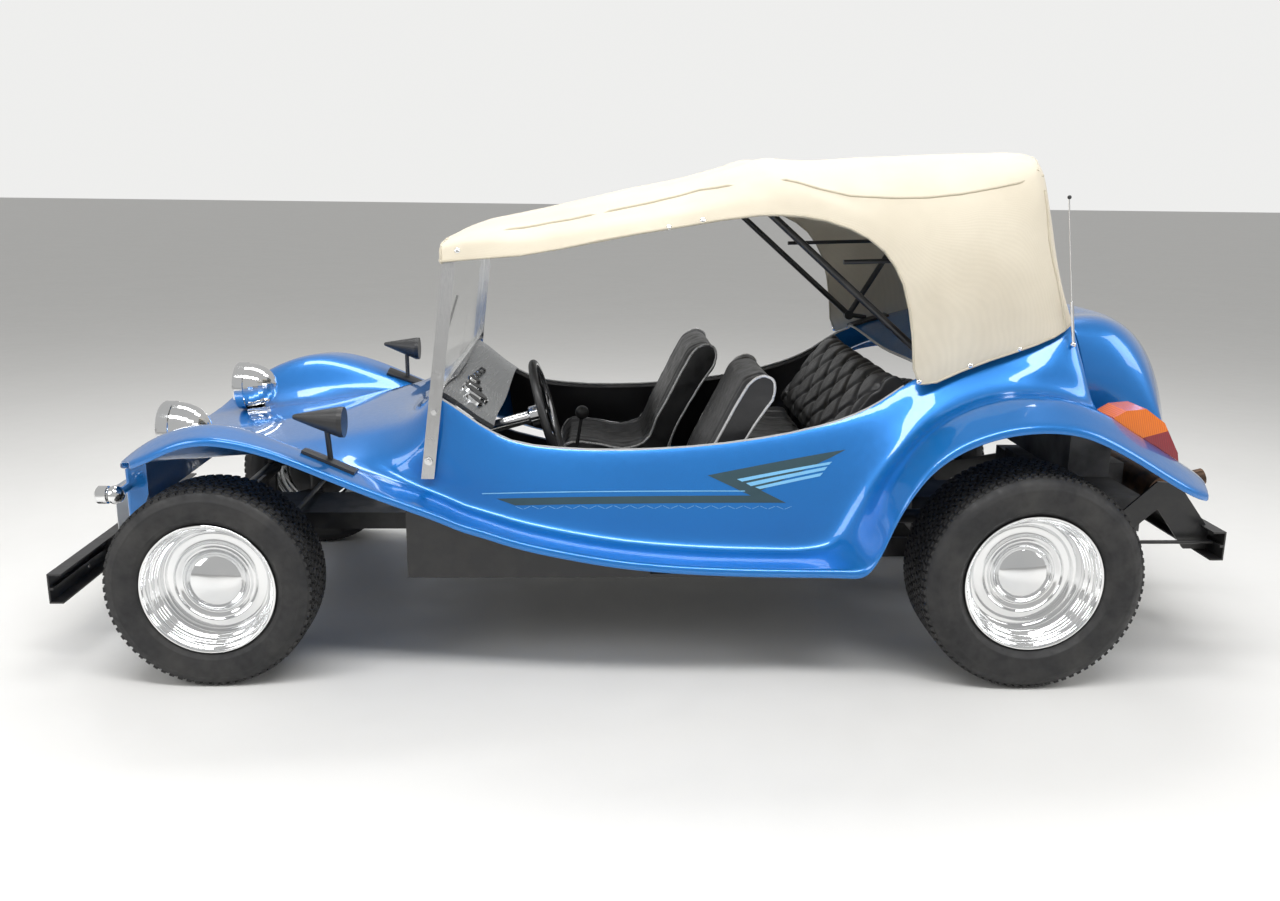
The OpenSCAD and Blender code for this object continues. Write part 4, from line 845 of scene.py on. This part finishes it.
stripe = [(0.5001, 0.5379), (-0.2619, 0.5456), (-0.1326, 0.6029), (-0.5462, 0.6849), (-0.5008, 0.6597),
    (-0.2114, 0.5993), (-0.3681, 0.5254), (0.4456, 0.5176)]
bands = [[(-0.2207, 0.5927), (-0.5057, 0.6489), (-0.4967, 0.6400), (-0.2357, 0.5857)],
    [(-0.2478, 0.5815), (-0.4922, 0.6341), (-0.4833, 0.6236), (-0.2628, 0.5730)],
    [(-0.2749, 0.5702), (-0.4789, 0.6162), (-0.4699, 0.6058), (-0.2899, 0.5646)],
    [(0.5431, 0.5546), (-0.2447, 0.5598), (-0.2447, 0.5572), (0.5431, 0.5520)]]
lattice = []
for i in range(34):
    x = 0.445 - i * 0.0245
    low, high = (0.5066, 0.5150) if i % 2 else (0.5150, 0.5066)
    lattice.append([(x, low), (x - 0.020, high), (x - 0.0225, high), (x - 0.0025, low)])
tape("side_stripe", (0.022, 0.055, 0.07), [stripe], 0.0006)
tape("speed_bands", (0.16, 0.42, 0.66), bands, 0.0007)
tape("lattice_band", (0.16, 0.42, 0.66), lattice, 0.0007)

# %% [markdown]
# Lamps get their colours by place: the tail lamps are amber above a slanted line and dark red below
# it, so the lens colour is a mix whose share is a sharp step on the object's coordinates. The
# steering wheel works the same way: inside a radius of its hub, the material turns to chrome.

# %% Lamps and steering wheel
tail = Finish("tail_lamp_lens", (0.8, 0.2, 0.02), 0.14, Coat_Weight=0.7, Coat_Roughness=0.05)
apart = tail.node("SeparateXYZ", {0: tail.place}).outputs
slant = tail.math("ADD", tail.math("MULTIPLY", apart["X"], 0.2875), apart["Z"])
amber = tail.level(slant, 0.3402, 0.3412)
ribs = tail.node("TexWave", {"Vector": tail.place, "Scale": 55.0}, bands_direction="X").outputs["Fac"]
tail.color(tail.mix(amber, tail.mix(ribs, (0.22, 0.012, 0.02), (0.32, 0.02, 0.03)),
    tail.mix(ribs, (0.72, 0.13, 0.008), (0.9, 0.22, 0.012))))
tail.bump(ribs, 0.0006, 0.5)
frame["nodes"]["tail_lights"].data.materials[0] = tail.material

wheel_low, wheel_high = (Vector(c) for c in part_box("steering_wheel"))
hub = (wheel_low + wheel_high) / 2
wheel_look = Finish("rim_and_spokes", (0.02, 0.02, 0.02), 0.35)
offset = wheel_look.node("VectorMath", {0: wheel_look.place, 1: hub}, operation="DISTANCE").outputs["Value"]
is_rim = wheel_look.level(offset, 0.158, 0.160)
wheel_look.color(wheel_look.mix(is_rim, (0.78, 0.78, 0.79), wheel_look.mix(wheel_look.noise(60, 4),
    (0.014, 0.014, 0.015), (0.028, 0.028, 0.029))))
wheel_look.links.new(wheel_look.level(is_rim, 0, 1, 1, 0), wheel_look.shader.inputs["Metallic"])
wheel_look.roughness(wheel_look.level(is_rim, 0, 1, 0.12, 0.4))
frame["nodes"]["steering_wheel"].data.materials[0] = wheel_look.material
print("steering hub", [round(x, 3) for x in hub])

# %% [markdown]
# Small round parts sit square on the surface under them: a ray finds the place and the way it
# faces, and the part is turned to match. Bolts are short hexagonal prisms with a washer; dials
# are a chrome ring round a black face, each spun or created as a disc and extruded.

# %% Bolts and dials
def facing(place, normal):
    return Matrix.Translation(place) @ normal.to_track_quat("Z", "Y").to_matrix().to_4x4()


def bolt(bm, place, normal, radius=0.008, high=0.006):
    """A washer with a six-sided head on it."""
    stand = facing(place, normal)
    bmesh.ops.create_cone(bm, cap_ends=True, segments=20, radius1=radius * 1.5, radius2=radius * 1.4,
        depth=high * 0.5, matrix=stand @ Matrix.Translation((0, 0, high * 0.2)))
    bmesh.ops.create_cone(bm, cap_ends=True, segments=6, radius1=radius, radius2=radius * 0.92,
        depth=high, matrix=stand @ Matrix.Translation((0, 0, high * 0.9)))


def bolts_on(name, node, rays, material, slot, **size):
    """Bolts where rays from (start, way) meet a CAD node."""
    surface = surface_of(frame["nodes"][node])
    bm = bmesh.new()
    met = 0
    for start, way in rays:
        hit, normal, _, _ = surface.ray_cast(Vector(start), Vector(way))
        if hit is not None:
            bolt(bm, hit, normal, **size)
            met += 1
    print(name, met, "of", len(rays))
    return finished(bm, name, body_of(node), material) if met else bm.free()


sides = (1, -1)
bolts_on("post_bolts", "windshield_frame", [((x, s, z), (0, -s, 0)) for s in sides
    for x, z in ((0.697, 0.655), (0.690, 0.715), (0.668, 0.91), (0.625, 1.22))], bright.material, "polished_metal")
bolts_on("front_bumper_bolts", "front_bumper", [((2.2, y, 0.242), (-1, 0, 0)) for y in (-0.42, -0.3, 0.3, 0.42)],
    bright.material, "polished_metal", radius=0.01)
bolts_on("rear_bumper_bolts", "rear_bumper", [((-2.2, y, 0.36), (1, 0, 0)) for y in (-0.42, -0.3, 0.3, 0.42)],
    bright.material, "polished_metal", radius=0.01)
bolts_on("plate_bolts", "front_plate", [((2.2, y, z), (-1, 0, 0)) for y in (-0.12, 0.12) for z in (0.31,)],
    bright.material, "polished_metal", radius=0.005, high=0.004)

DIAL_SIDES = 40
dash_surface = surface_of(frame["nodes"]["dashboard"])
rings, faces_of_dials = bmesh.new(), bmesh.new()
for y, z, radius in ((0.30, 0.79, 0.052), (0.18, 0.79, 0.032), (0.42, 0.79, 0.032), (0.06, 0.79, 0.026),
        (-0.02, 0.79, 0.014), (-0.08, 0.79, 0.014), (-0.14, 0.79, 0.014)):
    hit, normal, _, _ = dash_surface.ray_cast(Vector((0.2, y, z)), Vector((1, 0, 0)))
    if hit is None:
        continue
    stand = facing(hit, normal)
    bmesh.ops.create_cone(rings, cap_ends=True, segments=DIAL_SIDES, radius1=radius,
        radius2=radius * 0.94, depth=0.012, matrix=stand @ Matrix.Translation((0, 0, 0.004)))
    bmesh.ops.create_cone(faces_of_dials, cap_ends=True, segments=DIAL_SIDES, radius1=radius * 0.86,
        radius2=radius * 0.8, depth=0.004, matrix=stand @ Matrix.Translation((0, 0, 0.0105)))
dial_count = len(rings.faces) // (DIAL_SIDES + 2)
finished(rings, "dial_rings", body_of("dashboard"), chrome.material)
finished(faces_of_dials, "dial_faces", body_of("dashboard"), plastic.material)
print("dials:", dial_count)

# %% [markdown]
# The side linings are vinyl stretched over board, so they stay flat but their edges are soft: a
# bevel with a few segments rounds them. The antenna ends in a small ball.

# %% Linings and antenna tip
for_linings = bmesh.new()
for_linings.from_mesh(frame["nodes"]["side_linings"].data)
bmesh.ops.remove_doubles(for_linings, verts=for_linings.verts, dist=2e-5)
bmesh.ops.join_triangles(for_linings, faces=for_linings.faces, angle_face_threshold=0.1,
    angle_shape_threshold=3.1)
linings = finished(for_linings, "side_lining_panels", body_of("side_linings"),
    vinyl.material)
soft_edge = linings.modifiers.new("soft_edge", "BEVEL")
soft_edge.width = 0.0012
soft_edge.segments = 2
soft_edge.limit_method = "ANGLE"
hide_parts("side_linings")
mast_top = max((v.co for v in frame["nodes"]["antenna"].data.vertices), key=lambda co: co.z)
ball = bmesh.new()
bmesh.ops.create_uvsphere(ball, u_segments=16, v_segments=10, radius=0.006,
    matrix=Matrix.Translation(mast_top + Vector((0, 0, -0.004))))
finished(ball, "antenna_ball", body_of("antenna"), plastic.material)
print("linings squares", len(linings.data.polygons))
# %% [markdown]
# The studio is a plain pale floor under soft light. Long area lamps give the paint the long clean
# highlights that show its curves, and the world fills the shadows. Rays that come straight from
# the camera see a paler world than the one that lights the scene, so the backdrop is near white
# without washing out the colours; the floor keeps the vehicle's shadow.

# %% Studio
floor_mesh = bmesh.new()
bmesh.ops.create_grid(floor_mesh, x_segments=1, y_segments=1, size=60)
floor_data = bpy.data.meshes.new("floor")
floor_mesh.to_mesh(floor_data)
floor_mesh.free()
floor = bpy.data.objects.new("floor", floor_data)
scene.collection.objects.link(floor)
floor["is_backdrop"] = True
floor_finish = Finish("pale_floor", (0.74, 0.735, 0.72), 0.6)
floor_finish.color(floor_finish.mix(floor_finish.noise(1.5, 5), (0.72, 0.715, 0.70), (0.76, 0.755, 0.74)))
floor_finish.roughness(floor_finish.level(floor_finish.noise(9, 4), 0.3, 0.7, 0.5, 0.7))
floor.data.materials.append(floor_finish.material)

world = bpy.data.worlds.new("studio")
scene.world = world
world.use_nodes = True
sky = world.node_tree
lit = sky.nodes["Background"]
lit.inputs["Color"].default_value = (0.9, 0.9, 0.89, 1)
lit.inputs["Strength"].default_value = 0.55
seen = sky.nodes.new("ShaderNodeBackground")
seen.inputs["Color"].default_value = (0.86, 0.86, 0.85, 1)
rays = sky.nodes.new("ShaderNodeLightPath")
choice = sky.nodes.new("ShaderNodeMixShader")
sky.links.new(rays.outputs["Is Camera Ray"], choice.inputs[0])
sky.links.new(lit.outputs[0], choice.inputs[1])
sky.links.new(seen.outputs[0], choice.inputs[2])
sky.links.new(choice.outputs[0], sky.nodes["World Output"].inputs["Surface"])


def strip_light(name, place, aim, size, power):
    """A rectangular lamp at a place, turned to face a point."""
    lamp = bpy.data.lights.new(name, "AREA")
    lamp.shape = "RECTANGLE"
    lamp.size, lamp.size_y = size
    lamp.energy = power
    holder = bpy.data.objects.new(name, lamp)
    scene.collection.objects.link(holder)
    way = Vector(aim) - Vector(place)
    holder.matrix_world = Matrix.Translation(place) @ way.to_track_quat("-Z", "Y").to_matrix().to_4x4()
    return holder


strip_light("overhead_near", (0.3, 2.4, 4.2), (0, 0.6, 0.6), (5.0, 0.7), 150)
strip_light("overhead_far", (0.0, -1.6, 4.2), (0, 0, 0.8), (5.0, 0.9), 130)
strip_light("front_fill", (4.5, 2.6, 2.6), (0.8, 0.2, 0.6), (2.0, 2.0), 60)
strip_light("rear_fill", (-4.5, 2.0, 2.8), (-1.0, 0.2, 0.7), (2.0, 2.0), 60)
scene.view_settings.view_transform = "Standard"
# %% [markdown]
# Last, the sizes of the CAD model and of the finished one are printed next to each other, so
# that they can be compared.

sizes = {"cad": [list(cad_low), list(cad_high)], "visual": [list(corner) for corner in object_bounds()]}
print("sizes:", sizes)
